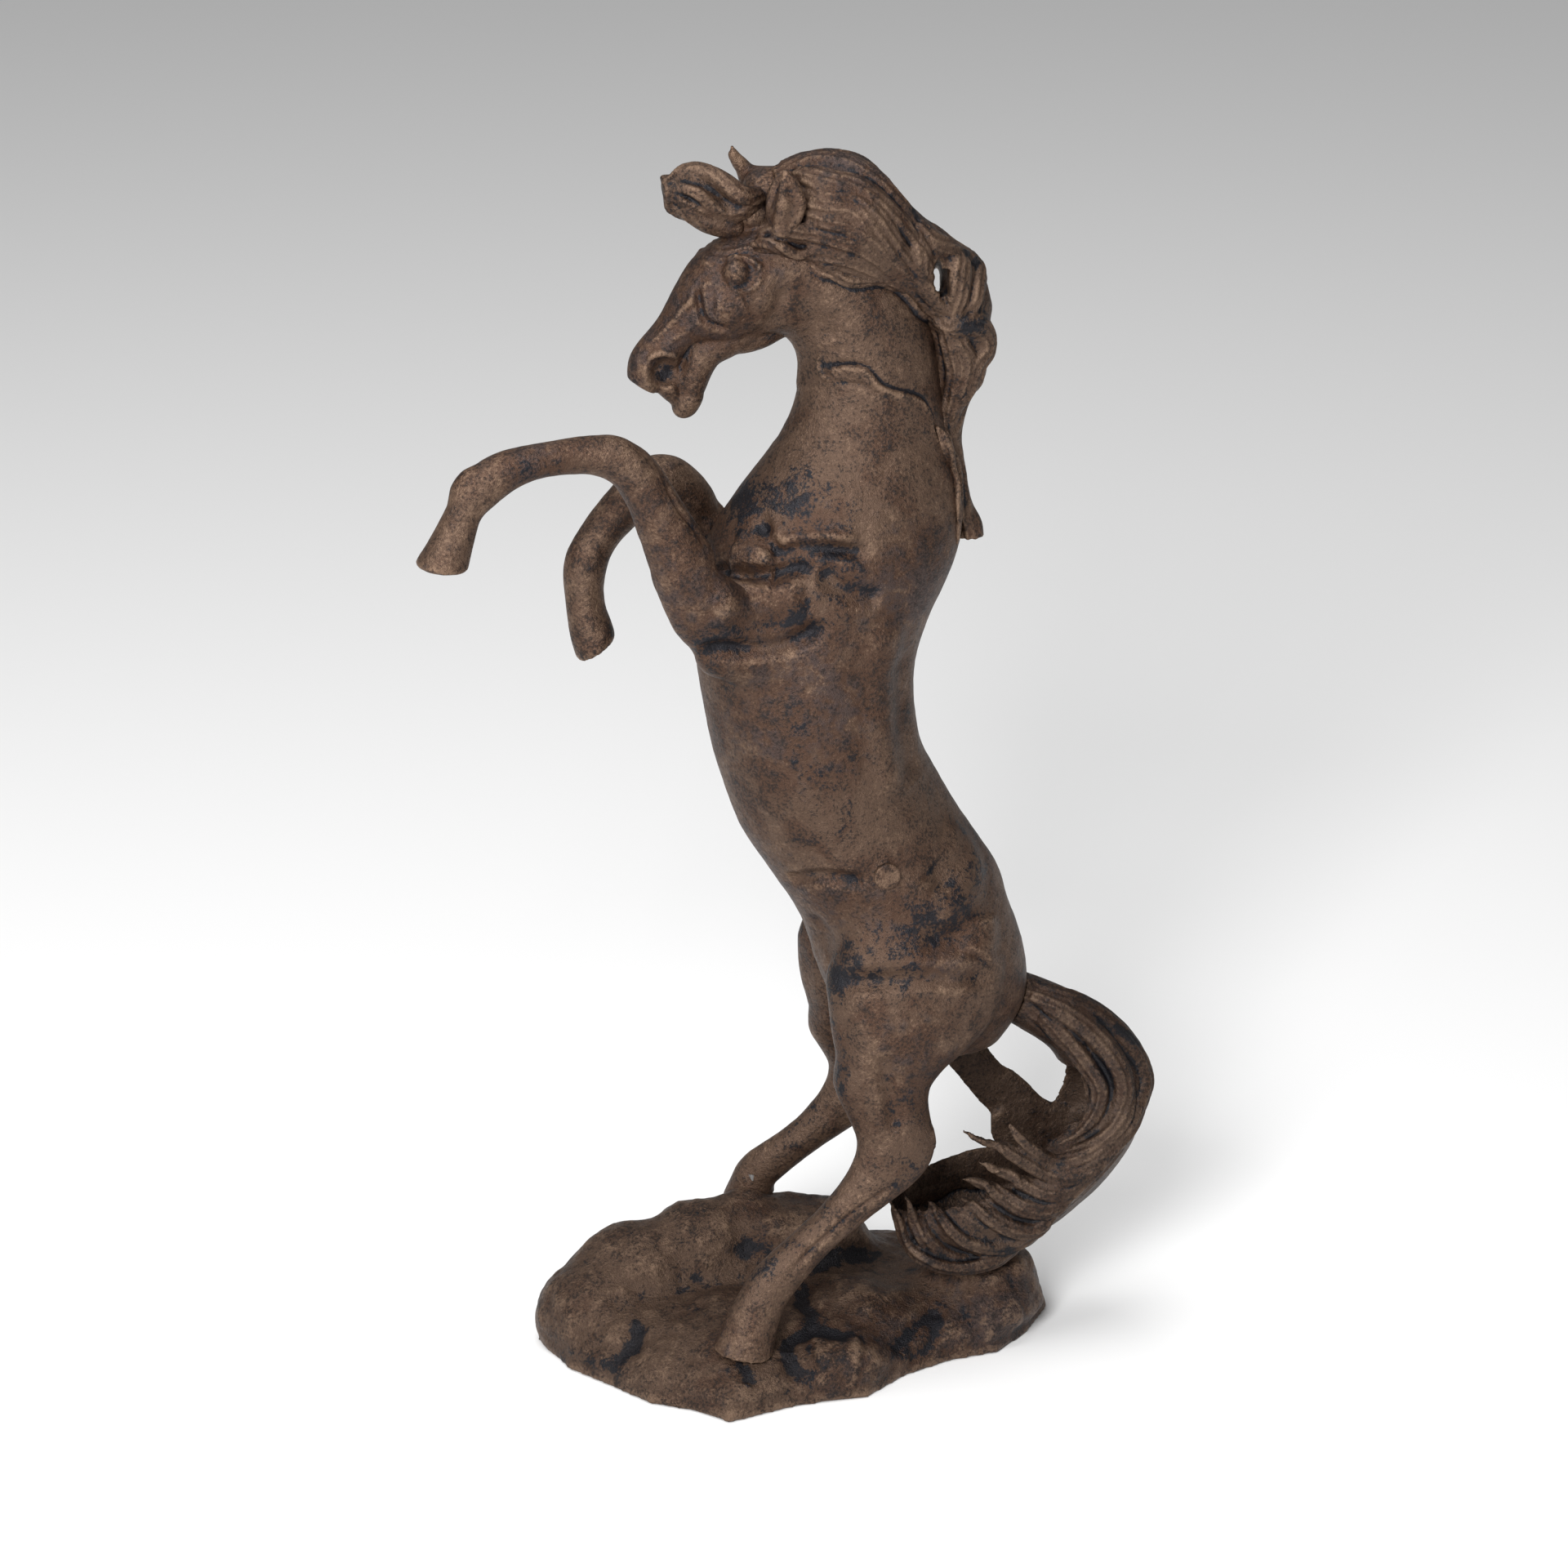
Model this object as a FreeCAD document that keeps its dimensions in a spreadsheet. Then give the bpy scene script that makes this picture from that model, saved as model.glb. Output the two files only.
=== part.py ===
import FreeCAD, Part
import math
import os

# A rearing horse statuette, cast in sections and pinned together, on a hollow rock base.
# Millimetres. The horse faces -X, its left side is -Y, +Z is up. The origin is on the
# standing plane, at the middle of the whole statuette's box.

doc = FreeCAD.newDocument("RearingHorse")
V = FreeCAD.Vector

# ---------------------------------------------------------------- driving dimensions

dimensions = [
    ("barrel_depth", 66),         # chest to back, at the ribs
    ("barrel_width", 58),         # across the ribs
    ("neck_depth", 42),
    ("neck_width", 31),
    ("head_depth", 37),           # forehead to cheek
    ("head_width", 27),           # across the cheeks
    ("foreleg_depth", 19),        # top of the forearm
    ("foreleg_width", 15),
    ("hindleg_depth", 62),        # haunch
    ("hindleg_width", 28),
    ("mane_depth", 37),
    ("mane_width", 33),
    ("forelock_depth", 14),
    ("forelock_width", 8),
    ("tail_depth", 37),
    ("tail_width", 37),
    ("ear_length", 24),
    ("ear_root", 4.4),            # radius
    ("ear_tip", 0.6),             # radius
    ("shell_wall", 4),            # thickness of the hollow castings
    ("base_length", 167),
    ("base_width", 102),
    ("base_edge", 8),             # height of the rock's upright rim
    ("base_wall", 5),
    ("pin_radius", 2),
    ("pin_length", 16),
    ("peg_radius", 1.2),
    ("peg_length", 12),
    ("screw_radius", 2.5),        # M5
    ("screw_head_radius", 4.3),
    ("screw_head_height", 3.2),
    ("screw_length", 40),
    ("boss_radius", 6.5),
    ("stud_radius", 2.5),         # M5 studs under the hooves and the neck
    ("washer_radius", 5),
    ("washer_height", 1),
    ("nut_width", 8),             # across the flats
    ("nut_height", 4),
]

sheet = doc.addObject("Spreadsheet::Sheet", "Dims")
for row, (alias, value) in enumerate(dimensions, start=1):
    sheet.set(f"A{row}", alias)
    sheet.set(f"B{row}", str(value))
    sheet.setAlias(f"B{row}", alias)
doc.recompute()


def dim(alias):
    return float(sheet.get(alias))


# ---------------------------------------------------------------- building blocks

subparts = []
up = V(0, 0, 1)
across = V(0, 1, 0)
ring_poles = 12


def feature(kind, name):
    return doc.addObject("Part::" + kind, name)


def keep(shape_object, node):
    """Mark an object as a sub-part under its node name."""
    shape_object.Label = node
    subparts.append(shape_object)
    return shape_object


def ring(station, depth, width, wall):
    """Poles round one elliptical section. A station is x, y, z, share of depth, share of
    width, tilt: the long axis lies in the XZ plane, tilted from +X towards +Z."""
    x, y, z, deep, wide, tilt = station
    bulge = 3 / (2 + math.cos(2 * math.pi / ring_poles))    # poles stand outside the curve
    half_depth = (depth * deep / 2 - wall) * bulge
    half_width = (width * wide / 2 - wall) * bulge
    lean = math.radians(tilt)
    poles = []
    for corner in range(ring_poles):
        turn = 2 * math.pi * corner / ring_poles
        reach = half_depth * math.cos(turn)
        poles.append(V(x + reach * math.cos(lean), y + half_width * math.sin(turn),
                       z + reach * math.sin(lean)))
    return poles


def casting(name, stations, depth, width, wall=0):
    """A smooth closed form led by its stations; a wall thickness makes the inner form."""
    poles = [ring(station, dim(depth), dim(width), wall) for station in stations]
    spans = len(stations) - 3
    along_knots = list(range(spans + 1))
    along_mults = [4] + [1] * (spans - 1) + [4]
    round_knots = list(range(ring_poles + 1))
    round_mults = [1] * (ring_poles + 1)
    skin = Part.BSplineSurface()
    skin.buildFromPolesMultsKnots(poles, along_mults, round_mults, along_knots, round_knots,
                                  False, True, 3, 3)
    ends = [Part.Face(Part.Wire([skin.uIso(place).toShape()])) for place in (0, spans)]
    shell = Part.Shell([skin.toShape()] + ends)
    shell.sewShape()
    solid = Part.Solid(shell)
    if solid.Volume < 0:
        solid.reverse()
    form = feature("Feature", name)
    form.Shape = solid
    return form


def rod(name, start, direction, radius, length):
    """A cylinder from start along direction; radius and length are sheet expressions."""
    body = feature("Cylinder", name)
    body.setExpression("Radius", radius)
    body.setExpression("Height", length)
    body.Placement = FreeCAD.Placement(start, FreeCAD.Rotation(up, direction))
    return body


def slab(name, corner, size):
    """A cutting block."""
    block = feature("Box", name)
    block.Length, block.Width, block.Height = size
    block.Placement.Base = corner
    return block


def joined(name, pieces):
    whole = feature("MultiFuse", name)
    whole.Shapes = pieces
    return whole


def without(name, base, tools):
    """Take each tool away from base in turn."""
    for index, tool in enumerate(tools):
        cut = feature("Cut", f"{name}_cut{index}")
        cut.Base = base
        cut.Tool = tool
        base = cut
    return base


def shared(name, first, second):
    common = feature("Common", name)
    common.Base = first
    common.Tool = second
    return common


def nut(name, centre):
    """A hex nut on a vertical stud, its underside at centre."""
    hexagon = feature("RegularPolygon", name + "_hexagon")
    hexagon.Polygon = 6
    hexagon.setExpression("Circumradius", "Dims.nut_width / sqrt(3)")
    hexagon.Placement.Base = centre
    block = feature("Extrusion", name + "_block")
    block.Base = hexagon
    block.DirMode = "Custom"
    block.Dir = up
    block.Solid = True
    block.setExpression("LengthFwd", "Dims.nut_height")
    bore = rod(name + "_bore", centre, up, "Dims.stud_radius", "Dims.nut_height")
    return without(name, block, [bore])


def washer(name, centre):
    disc = rod(name + "_disc", centre, up, "Dims.washer_radius", "Dims.washer_height")
    bore = rod(name + "_bore", centre, up, "Dims.stud_radius", "Dims.washer_height")
    return without(name, disc, [bore])


# ---------------------------------------------------------------- torso, two hollow halves

torso_foot = (46, 0, 104, 0.66, 0.66, 0)
torso_ribs = [
    (45.5, 0, 112, 0.85, 0.86, 0),      # buttocks
    (44.5, 0, 121, 0.98, 0.96, 0),
    (40.5, 0, 137, 1.02, 1.02, 0),      # haunches
    (36, 0, 151, 1.00, 1.00, 0),
    (28, 0, 165, 1.02, 0.96, 0),        # flanks
    (18.5, 0, 179, 1.00, 0.94, 0),
    (11.5, 0, 195, 0.97, 0.98, 0),
    (7, 0, 212, 0.97, 1.00, 0),         # ribs
    (4.5, 0, 234, 1.01, 0.98, 0),
    (9, 0, 254, 1.15, 0.99, 0),         # shoulders
    (13.5, 0, 270, 1.23, 0.95, 0),
    (19, 0, 286, 1.05, 0.80, 0),        # chest and withers
]
torso_top = (22.5, 0, 302, 0.79, 0.62, 0)
cavity_foot = (46, 0, 109, 0.78, 0.78, 0)
cavity_top = (22, 0, 297, 0.84, 0.66, 0)

torso = casting("TorsoForm", [torso_foot] + torso_ribs + [torso_top], "barrel_depth", "barrel_width")
cavity = casting("TorsoCavity", [cavity_foot] + torso_ribs[1:] + [cavity_top],
                 "barrel_depth", "barrel_width", wall=dim("shell_wall"))
torso_shell = without("TorsoShell", torso, [cavity])

# One M5 screw through the flank clamps the halves: its head is sunk in the left one,
# and it threads into a boss in the right one.
flank = V(24, -28.6, 170)
screw_head = rod("FlankScrewHead", flank, across, "Dims.screw_head_radius", "Dims.screw_head_height")
screw_shank = rod("FlankScrewShank", flank, across, "Dims.screw_radius", "Dims.screw_length")
flank_screw = keep(joined("FlankScrew", [screw_head, screw_shank]), "flank_screw")

boss_reach = 25.8                       # from the seam plane to each end of the boss
boss_start = V(flank.x, -boss_reach, flank.z)
boss = rod("FlankBoss", boss_start, across, "Dims.boss_radius", f"{2 * boss_reach} mm")
bossed_shell = joined("BossedShell", [torso_shell, boss])

# Two pegs across the seam keep the halves in line, one in the belly wall, one in the back wall.
peg_half = dim("peg_length") / 2
peg_places = {"belly_peg": V(-23, -peg_half, 212), "back_peg": V(36, -peg_half, 234)}
pegs = [keep(rod(node.title(), place, across, "Dims.peg_radius", "Dims.peg_length"), node)
        for node, place in peg_places.items()]

# ---------------------------------------------------------------- neck, head and ears

neck_line = [
    (22.5, 0, 302, 1.24, 1.16, 0),
    (23.7, 0, 310.5, 1.09, 1.06, 0),
    (24, 0, 320.5, 0.99, 1.00, 0),
    (23.3, 0, 331.5, 0.96, 0.97, 10),
    (20, 0, 341.5, 0.97, 0.94, 21),
    (13.3, 0, 350, 0.97, 0.90, 39),     # throat
    (-3.2, 0, 356, 0.89, 0.87, 86),     # poll and cheeks
    (-17.8, 0, 351, 0.76, 0.80, 124),   # eyes
    (-24.5, 0, 346.5, 0.66, 0.70, 122),
    (-29.5, 0, 344, 0.48, 0.54, 128),
    (-33.2, 0, 341, 0.34, 0.43, 140),   # nose
    (-37, 0, 337.2, 0.31, 0.40, 148),
    (-41, 0, 333, 0.32, 0.41, 150),
    (-44, 0, 327.6, 0.34, 0.43, 148),   # muzzle
    (-45.6, 0, 323.6, 0.22, 0.28, 148),
]
jaw_line = [
    (-14, 0, 343, 0.44, 0.56, 118),
    (-19.2, 0, 337, 0.36, 0.46, 118),
    (-25.3, 0, 334.4, 0.31, 0.40, 125),
    (-29, 0, 329.6, 0.33, 0.40, 130),
    (-31, 0, 323, 0.28, 0.35, 145),
    (-32, 0, 317, 0.17, 0.20, 153),     # lower lip
]
neck_form = casting("NeckForm", neck_line, "neck_depth", "neck_width")
jaw_form = casting("JawForm", jaw_line, "head_depth", "head_width")


def ear(name, root, tip):
    cone = feature("Cone", name)
    cone.setExpression("Radius1", "Dims.ear_root")
    cone.setExpression("Radius2", "Dims.ear_tip")
    cone.setExpression("Height", "Dims.ear_length")
    cone.Placement = FreeCAD.Placement(root, FreeCAD.Rotation(up, tip - root))
    return cone


left_ear = ear("LeftEar", V(-4.6, -9, 363.8), V(-4.6, -12, 387.5))
right_ear = ear("RightEar", V(-6.4, 7.5, 368.8), V(-16, 9.2, 390.6))
head_form = joined("HeadForm", [neck_form, jaw_form, left_ear, right_ear])

# A stud from the neck passes through the top of the torso, with its washer and nut inside.
neck_seat = V(22, 0, 293)               # underside of the torso's closed top
neck_stud = rod("NeckStud", V(22, 0, 286), up, "Dims.stud_radius", "2 * Dims.pin_length")
neck_washer = washer("NeckWasher", neck_seat - up * dim("washer_height"))
neck_nut = nut("NeckNut", neck_seat - up * (dim("washer_height") + dim("nut_height")))
keep(neck_stud, "neck_stud")
keep(neck_washer, "neck_washer")
keep(neck_nut, "neck_nut")

# ---------------------------------------------------------------- mane and forelock

mane_line = [
    (-5, 0, 377, 0.46, 0.40, 95),
    (3, 0, 371, 0.94, 0.94, 88),        # behind the ears
    (14, 0, 369.5, 1.00, 1.06, 84),
    (24, 0, 366.5, 0.96, 1.06, 78),
    (34, 0, 359, 0.76, 0.80, 66),
    (46, 0, 349.5, 0.66, 0.66, 46),
    (51, 0, 339, 0.60, 0.54, 28),
    (53, 0, 327.5, 0.50, 0.44, 14),     # blown out behind the neck
    (51.5, 0, 311, 0.40, 0.36, 4),
    (49, 0, 299.5, 0.27, 0.26, 0),
    (54, 0, 284, 0.28, 0.28, 0),
    (56, 0, 268, 0.24, 0.24, 0),        # withers
]
forelock_line = [
    (-10, 0, 375, 0.70, 0.90, 100),
    (-19.5, 0, 377.7, 0.62, 0.90, 100),
    (-29, 0, 380.5, 0.96, 0.90, 98),
    (-38.4, 0, 379.5, 0.72, 0.66, 98),  # blown forward
]
mane_form = casting("ManeForm", mane_line, "mane_depth", "mane_width")
forelock_form = casting("ForelockForm", forelock_line, "forelock_depth", "forelock_width")
mane_slot = slab("ManeSlot", V(43, -30, 346.5), (3, 60, 8.5))

# ---------------------------------------------------------------- forelegs

left_foreleg_line = [
    (-19, -19, 240.5, 0.84, 0.84, 25),
    (-25, -21, 248.5, 1.20, 1.12, 23),  # elbow
    (-31.5, -23, 260.5, 1.12, 1.08, 22),
    (-35.6, -24.2, 268, 1.04, 1.02, 21),
    (-38.8, -24.8, 275, 0.97, 0.95, 20),    # parting
    (-44.2, -25, 287, 0.80, 0.84, 22),
    (-47.5, -25, 294.5, 0.70, 0.80, 27),
    (-51.5, -25, 301.5, 0.74, 0.84, 48),    # knee
    (-56.5, -25, 306, 0.68, 0.80, 72),
    (-63, -25.5, 308, 0.56, 0.66, 86),
    (-72, -26, 308, 0.50, 0.59, 90),
    (-83, -27, 307.2, 0.50, 0.59, 92),      # cannon
    (-92, -27.5, 304.8, 0.61, 0.70, 102),
    (-98, -28, 301, 0.62, 0.70, 118),       # fetlock
    (-101.8, -28, 297.3, 0.54, 0.62, 138),
    (-104.3, -28, 292.5, 0.48, 0.56, 158),
    (-106.4, -28, 287.5, 0.60, 0.68, 166),
    (-110, -28, 279.5, 0.78, 0.92, 172),    # hoof
]
right_foreleg_line = [
    (-9, 12, 243, 0.84, 0.84, 24),
    (-14.5, 16.5, 253, 1.10, 1.08, 22),     # elbow
    (-21, 21, 263, 1.10, 1.06, 21),
    (-25.8, 23.6, 273, 1.00, 1.00, 20),     # parting
    (-29, 24, 280, 0.88, 0.92, 24),
    (-33, 24, 286, 0.80, 0.90, 60),         # knee
    (-39, 23.5, 285.4, 0.74, 0.86, 108),
    (-45.5, 22, 279.5, 0.67, 0.76, 128),
    (-51.5, 22, 273.5, 0.59, 0.68, 132),    # cannon
    (-56.5, 21, 267.5, 0.57, 0.66, 140),
    (-59.7, 20, 261.5, 0.64, 0.74, 158),    # fetlock
    (-60.5, 20, 256, 0.58, 0.68, 172),
    (-60.3, 19, 250, 0.53, 0.62, 178),
    (-59.4, 19, 244, 0.58, 0.68, 184),
    (-58.2, 18, 238.5, 0.64, 0.76, 196),
    (-57.2, 18, 234.5, 0.64, 0.76, 214),    # hoof
]
left_parting, right_parting = 4, 3          # stations where the two castings butt


def foreleg(side, line, parting, shoulder):
    """A forearm and a lower leg that butt on a flat parting, with a pin down the middle
    and a second pin from the forearm into the body. Returns forearm, leg and both pins."""
    forearm = casting(side + "ForearmForm", line[:parting + 1], "foreleg_depth", "foreleg_width")
    leg = casting(side + "ForelegForm", line[parting:], "foreleg_depth", "foreleg_width")
    x, y, z, _, _, tilt = line[parting]
    along = FreeCAD.Rotation(across, -tilt).multVec(up)
    pin_foot = V(x, y, z) - along * (dim("pin_length") / 2)
    leg_pin = rod(side + "ForelegPin", pin_foot, along, "Dims.pin_radius", "Dims.pin_length")
    inward = across * (-1 if shoulder.y > 0 else 1)
    body_pin = rod(side + "ShoulderPin", shoulder, inward, "Dims.pin_radius", "Dims.pin_length")
    keep(leg_pin, side.lower() + "_foreleg_pin")
    keep(body_pin, side.lower() + "_shoulder_pin")
    return forearm, leg, leg_pin, body_pin


left_front = foreleg("Left", left_foreleg_line, left_parting, V(-21, -26, 251))
right_front = foreleg("Right", right_foreleg_line, right_parting, V(-20, 27, 264))

# ---------------------------------------------------------------- hind legs

left_hindleg_line = [
    (38, -19, 143, 0.84, 0.80, -8),
    (35, -19.5, 131, 0.98, 1.00, -8),       # thigh
    (31.5, -21, 118.5, 0.90, 0.97, -12),
    (25.5, -22.5, 107.5, 0.62, 0.82, -10),
    (23, -24, 98.7, 0.49, 0.68, -8),        # stifle to gaskin
    (25.5, -25, 90, 0.43, 0.60, -4),
    (29, -26, 80.5, 0.40, 0.54, -5),
    (27, -27, 72.5, 0.40, 0.48, -10),       # hock
    (18.5, -27.5, 64.5, 0.27, 0.43, -30),
    (9, -28, 56.5, 0.20, 0.39, -42),
    (-0.5, -28.5, 48, 0.20, 0.39, -45),     # cannon
    (-9, -29.5, 40.5, 0.24, 0.43, -42),
    (-14.5, -30, 34, 0.24, 0.44, -35),      # pastern
    (-18, -31, 27, 0.26, 0.50, -24),
    (-22, -32, 15, 0.31, 0.60, -12),        # hoof
]
right_hindleg_line = [
    (37.5, 19, 143, 0.84, 0.80, -8),
    (34, 19.5, 131, 0.98, 1.00, -8),
    (30, 21, 119, 0.88, 0.97, -12),
    (25, 22.5, 109, 0.60, 0.82, -10),
    (24, 24, 100.5, 0.48, 0.68, -8),
    (27, 25, 92.5, 0.42, 0.60, -4),
    (31, 26, 84.5, 0.39, 0.54, -6),
    (30, 27, 77.5, 0.39, 0.48, -12),
    (21.8, 28, 70, 0.26, 0.43, -36),
    (13.5, 30, 63, 0.20, 0.39, -46),
    (5.2, 32.5, 55.5, 0.19, 0.38, -46),
    (-1.6, 35.5, 49.5, 0.22, 0.42, -38),
    (-3.4, 37, 45.5, 0.21, 0.42, -24),
    (-4.4, 38, 41.5, 0.23, 0.47, -14),
    (-5.5, 39, 34.5, 0.28, 0.56, -6),
]
hip_reach = 33                               # how far out the hip pins start


def hindleg(side, line, hand):
    """The leg's form and the pin from its thigh into the body; hand is -1 on the left."""
    form = casting(side + "HindlegForm", line, "hindleg_depth", "hindleg_width")
    pin = rod(side + "HipPin", V(40, hand * hip_reach, 120), across * -hand,
              "Dims.pin_radius", "Dims.pin_length")
    keep(pin, side.lower() + "_hip_pin")
    return form, pin


left_rear, left_hip_pin = hindleg("Left", left_hindleg_line, -1)
right_rear, right_hip_pin = hindleg("Right", right_hindleg_line, 1)

# ---------------------------------------------------------------- tail, an open trough

tail_line = [
    (60, 0, 122, 0.36, 0.36, -95),
    (74, 0, 114.5, 0.48, 0.48, -118),       # dock
    (89, 0, 106.5, 0.54, 0.62, -143),
    (99.5, 0, 95.5, 0.64, 0.76, -163),
    (103.5, 0, 81.5, 0.80, 0.90, -184),     # far side of the curl
    (100.5, 0, 68, 0.84, 1.00, -200),
    (91, -0.5, 57.5, 0.86, 1.02, -216),
    (77.5, -1, 48.5, 0.94, 0.98, -227),
    (63, -2, 41.5, 0.98, 0.90, -232),
    (48.5, -3, 39, 0.90, 0.76, -238),
    (35, -5, 41.5, 0.60, 0.50, -244),       # tips against the left hock
]
trough_inset = 9                             # how far the hollow is moved into the curl


def trough_station(station):
    x, y, z, deep, wide, tilt = station
    inward = math.radians(tilt)
    return (x + trough_inset * math.cos(inward), y, z + trough_inset * math.sin(inward),
            deep * 1.3, wide, tilt)


tail_form = casting("TailForm", tail_line, "tail_depth", "tail_width")
tail_hollow = casting("TailHollow", [trough_station(station) for station in tail_line[3:]],
                      "tail_depth", "tail_width", wall=dim("shell_wall"))
tail_pin = rod("TailPin", V(60, 0, 121.5), V(1, 0, -0.45), "Dims.pin_radius", "Dims.pin_length")
keep(tail_pin, "tail_pin")

# ---------------------------------------------------------------- rock base

# Plan of the rock's foot, going round from the horse's front left, on the nominal base.
rock_plan = [
    (-79, 20), (-73, -3), (-61, -19), (-52, -32), (-39, -40), (-30, -50), (-6, -43),
    (16, -42), (31, -30), (47, -23), (64, -20), (77, -8), (88, 9), (88, 26), (76, 42),
    (50, 50), (14, 52), (-24, 52), (-52, 46), (-70, 36),
]
plan_length, plan_width = 167, 102


def faceted(name, outline, levels, inset=1.0):
    """A stone with flat facets: its outline spread about the middle and moved at each level.
    A level is height, spread, shift along X, shift along Y."""
    rings = []
    for index, (height, spread, shift_x, shift_y) in enumerate(levels):
        points = [V(x * spread * inset + shift_x, y * spread * inset + shift_y, height)
                  for x, y in outline]
        level_ring = feature("Feature", f"{name}_ring{index}")
        level_ring.Shape = Part.makePolygon(points + points[:1])
        rings.append(level_ring)
    body = feature("Loft", name)
    body.Sections = rings
    body.Solid = True
    body.Ruled = True
    return body


def boulder(name, middle, low, high, radii, taper):
    """A lump on the rock: an oval of flat facets that narrows by taper from low to high."""
    corners = 12
    turns = [2 * math.pi * corner / corners for corner in range(corners)]
    oval = [(radii[0] * math.cos(turn), radii[1] * math.sin(turn)) for turn in turns]
    return faceted(name, oval, [(low, 1, *middle), (high, taper, *middle)])


edge = dim("base_edge")
wall = dim("base_wall")
plan = [(x * dim("base_length") / plan_length, y * dim("base_width") / plan_width)
        for x, y in rock_plan]
rock_outside = joined("RockOutside", [
    faceted("Rock", plan, [(0, 1, 0, 0), (edge, 0.98, 0, 0), (14, 0.87, 0, 3), (19, 0.68, 0, 8)]),
    boulder("HindBoulder", (4, 27), 6, 37, (41, 24), 0.52),
    boulder("TailBoulder", (62, 2), 6, 27, (25, 20), 0.68),
])
below = -2                                   # the hollow is open underneath
hollow_inset = 1 - 2 * wall / dim("base_width")
rock_inside = faceted("RockHollow", plan, [(below, 1, 0, 0), (edge - 2, 0.98, 0, 0),
                                           (14 - wall, 0.85, 0, 3)], hollow_inset)

# Under each hoof and the tail a pillar stands inside the hollow. A stud runs down through it
# to a washer and nut at its foot.
seat_height = 7
fixings = {
    "left_hoof": (-20, -28, 26, 13),         # place, stud length, top of the pillar
    "right_hoof": (-5, 34, 45, 30),
    "tail_foot": (62, 1, 33, 22),
}
fixing_studs = []
pillars = []
for node, (x, y, stud_length, pillar_top) in fixings.items():
    name = node.title().replace("_", "")
    seat = V(x, y, seat_height)
    pillars.append(rod(name + "Pillar", seat, up, "1.2 * Dims.boss_radius",
                       f"{pillar_top - seat_height} mm"))
    washer_seat = seat - up * dim("washer_height")
    nut_seat = washer_seat - up * dim("nut_height")
    stud = rod(name + "Stud", nut_seat - up, up, "Dims.stud_radius", f"{stud_length} mm")
    fixing_studs.append(keep(stud, node + "_stud"))
    keep(washer(name + "Washer", washer_seat), node + "_washer")
    keep(nut(name + "Nut", nut_seat), node + "_nut")

hollow_rock = without("HollowRock", rock_outside, [rock_inside])
pillared_rock = joined("PillaredRock", [hollow_rock] + pillars)
keep(without("RockBase", pillared_rock, fixing_studs), "rock_base")

# ---------------------------------------------------------------- fitting the castings together

# Each casting gives way to the one it sits on, so that neighbours meet face to face.
left_forearm, left_leg, left_leg_pin, left_shoulder_pin = left_front
right_forearm, right_leg, right_leg_pin, right_shoulder_pin = right_front
left_stud, right_stud, tail_stud = fixing_studs

half_space = (400, 200, 500)
left_side = slab("LeftSide", V(-200, -200, -50), half_space)
right_side = slab("RightSide", V(-200, 0, -50), half_space)
shell_holes = pegs + [flank_screw, neck_stud, left_shoulder_pin, right_shoulder_pin,
                      left_hip_pin, right_hip_pin, tail_pin]
drilled_shell = without("DrilledShell", bossed_shell, shell_holes)
keep(shared("LeftBodyShell", drilled_shell, left_side), "left_body_shell")
keep(shared("RightBodyShell", drilled_shell, right_side), "right_body_shell")

mane_root_pin = rod("ManeRootPin", V(16, 0, 350), up, "Dims.pin_radius", "Dims.pin_length")
mane_crest_pin = rod("ManeCrestPin", V(33, 0, 328), V(1, 0, 0.15), "Dims.pin_radius",
                     "Dims.pin_length")
forelock_pin = rod("ForelockPin", V(-20, 0, 378), V(1, 0, -0.45), "Dims.pin_radius / 2",
                   "Dims.pin_length")
keep(mane_root_pin, "mane_root_pin")
keep(mane_crest_pin, "mane_crest_pin")
keep(forelock_pin, "forelock_pin")

neck_and_head = without("NeckAndHead", head_form,
                        [neck_stud, mane_root_pin, mane_crest_pin, forelock_pin])
keep(neck_and_head, "neck_and_head")
mane_bed = joined("ManeBed", [head_form, torso])
mane = without("Mane", mane_form,
               [mane_slot, mane_root_pin, mane_crest_pin, forelock_pin, mane_bed])
keep(mane, "mane")
forelock = without("Forelock", forelock_form, [head_form, mane_form, forelock_pin])
keep(forelock, "forelock")

keep(without("LeftForearm", left_forearm, [torso, left_leg_pin, left_shoulder_pin]), "left_forearm")
keep(without("LeftForeleg", left_leg, [left_leg_pin]), "left_foreleg")
keep(without("RightForearm", right_forearm, [torso, right_leg_pin, right_shoulder_pin]),
     "right_forearm")
keep(without("RightForeleg", right_leg, [right_leg_pin]), "right_foreleg")
keep(without("LeftHindleg", left_rear, [torso, rock_outside, left_hip_pin, left_stud]),
     "left_hind_leg")
keep(without("RightHindleg", right_rear, [torso, rock_outside, right_hip_pin, right_stud]),
     "right_hind_leg")
keep(without("Tail", tail_form, [rock_outside, torso, tail_hollow, tail_stud, tail_pin]), "tail")

# ---------------------------------------------------------------- recompute, check and write

doc.recompute()
faults = []
for item in doc.Objects:
    if "Invalid" in item.State or "Error" in item.State:
        faults.append(f"{item.Name}: {item.State}")
for item in subparts:
    shape = item.Shape
    if shape.isNull() or not shape.isValid():
        faults.append(f"{item.Label}: no valid shape")
        continue
    print(f"{item.Label:20s} solids {len(shape.Solids)}  volume {shape.Volume / 1000:8.2f} cm3")
if faults:
    raise RuntimeError("; ".join(faults))

os.makedirs("parts", exist_ok=True)
for item in subparts:
    item.Shape.exportStep(f"parts/{item.Label}.step")
box = Part.makeCompound([item.Shape for item in subparts]).BoundBox
print(f"{len(subparts)} sub-parts, X {box.XMin:.1f} {box.XMax:.1f}, "
      f"Y {box.YMin:.1f} {box.YMax:.1f}, Z {box.ZMin:.1f} {box.ZMax:.1f}")
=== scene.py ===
import bpy
import math
import time
import numpy as np
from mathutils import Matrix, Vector, noise
from mathutils.kdtree import KDTree


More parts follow.
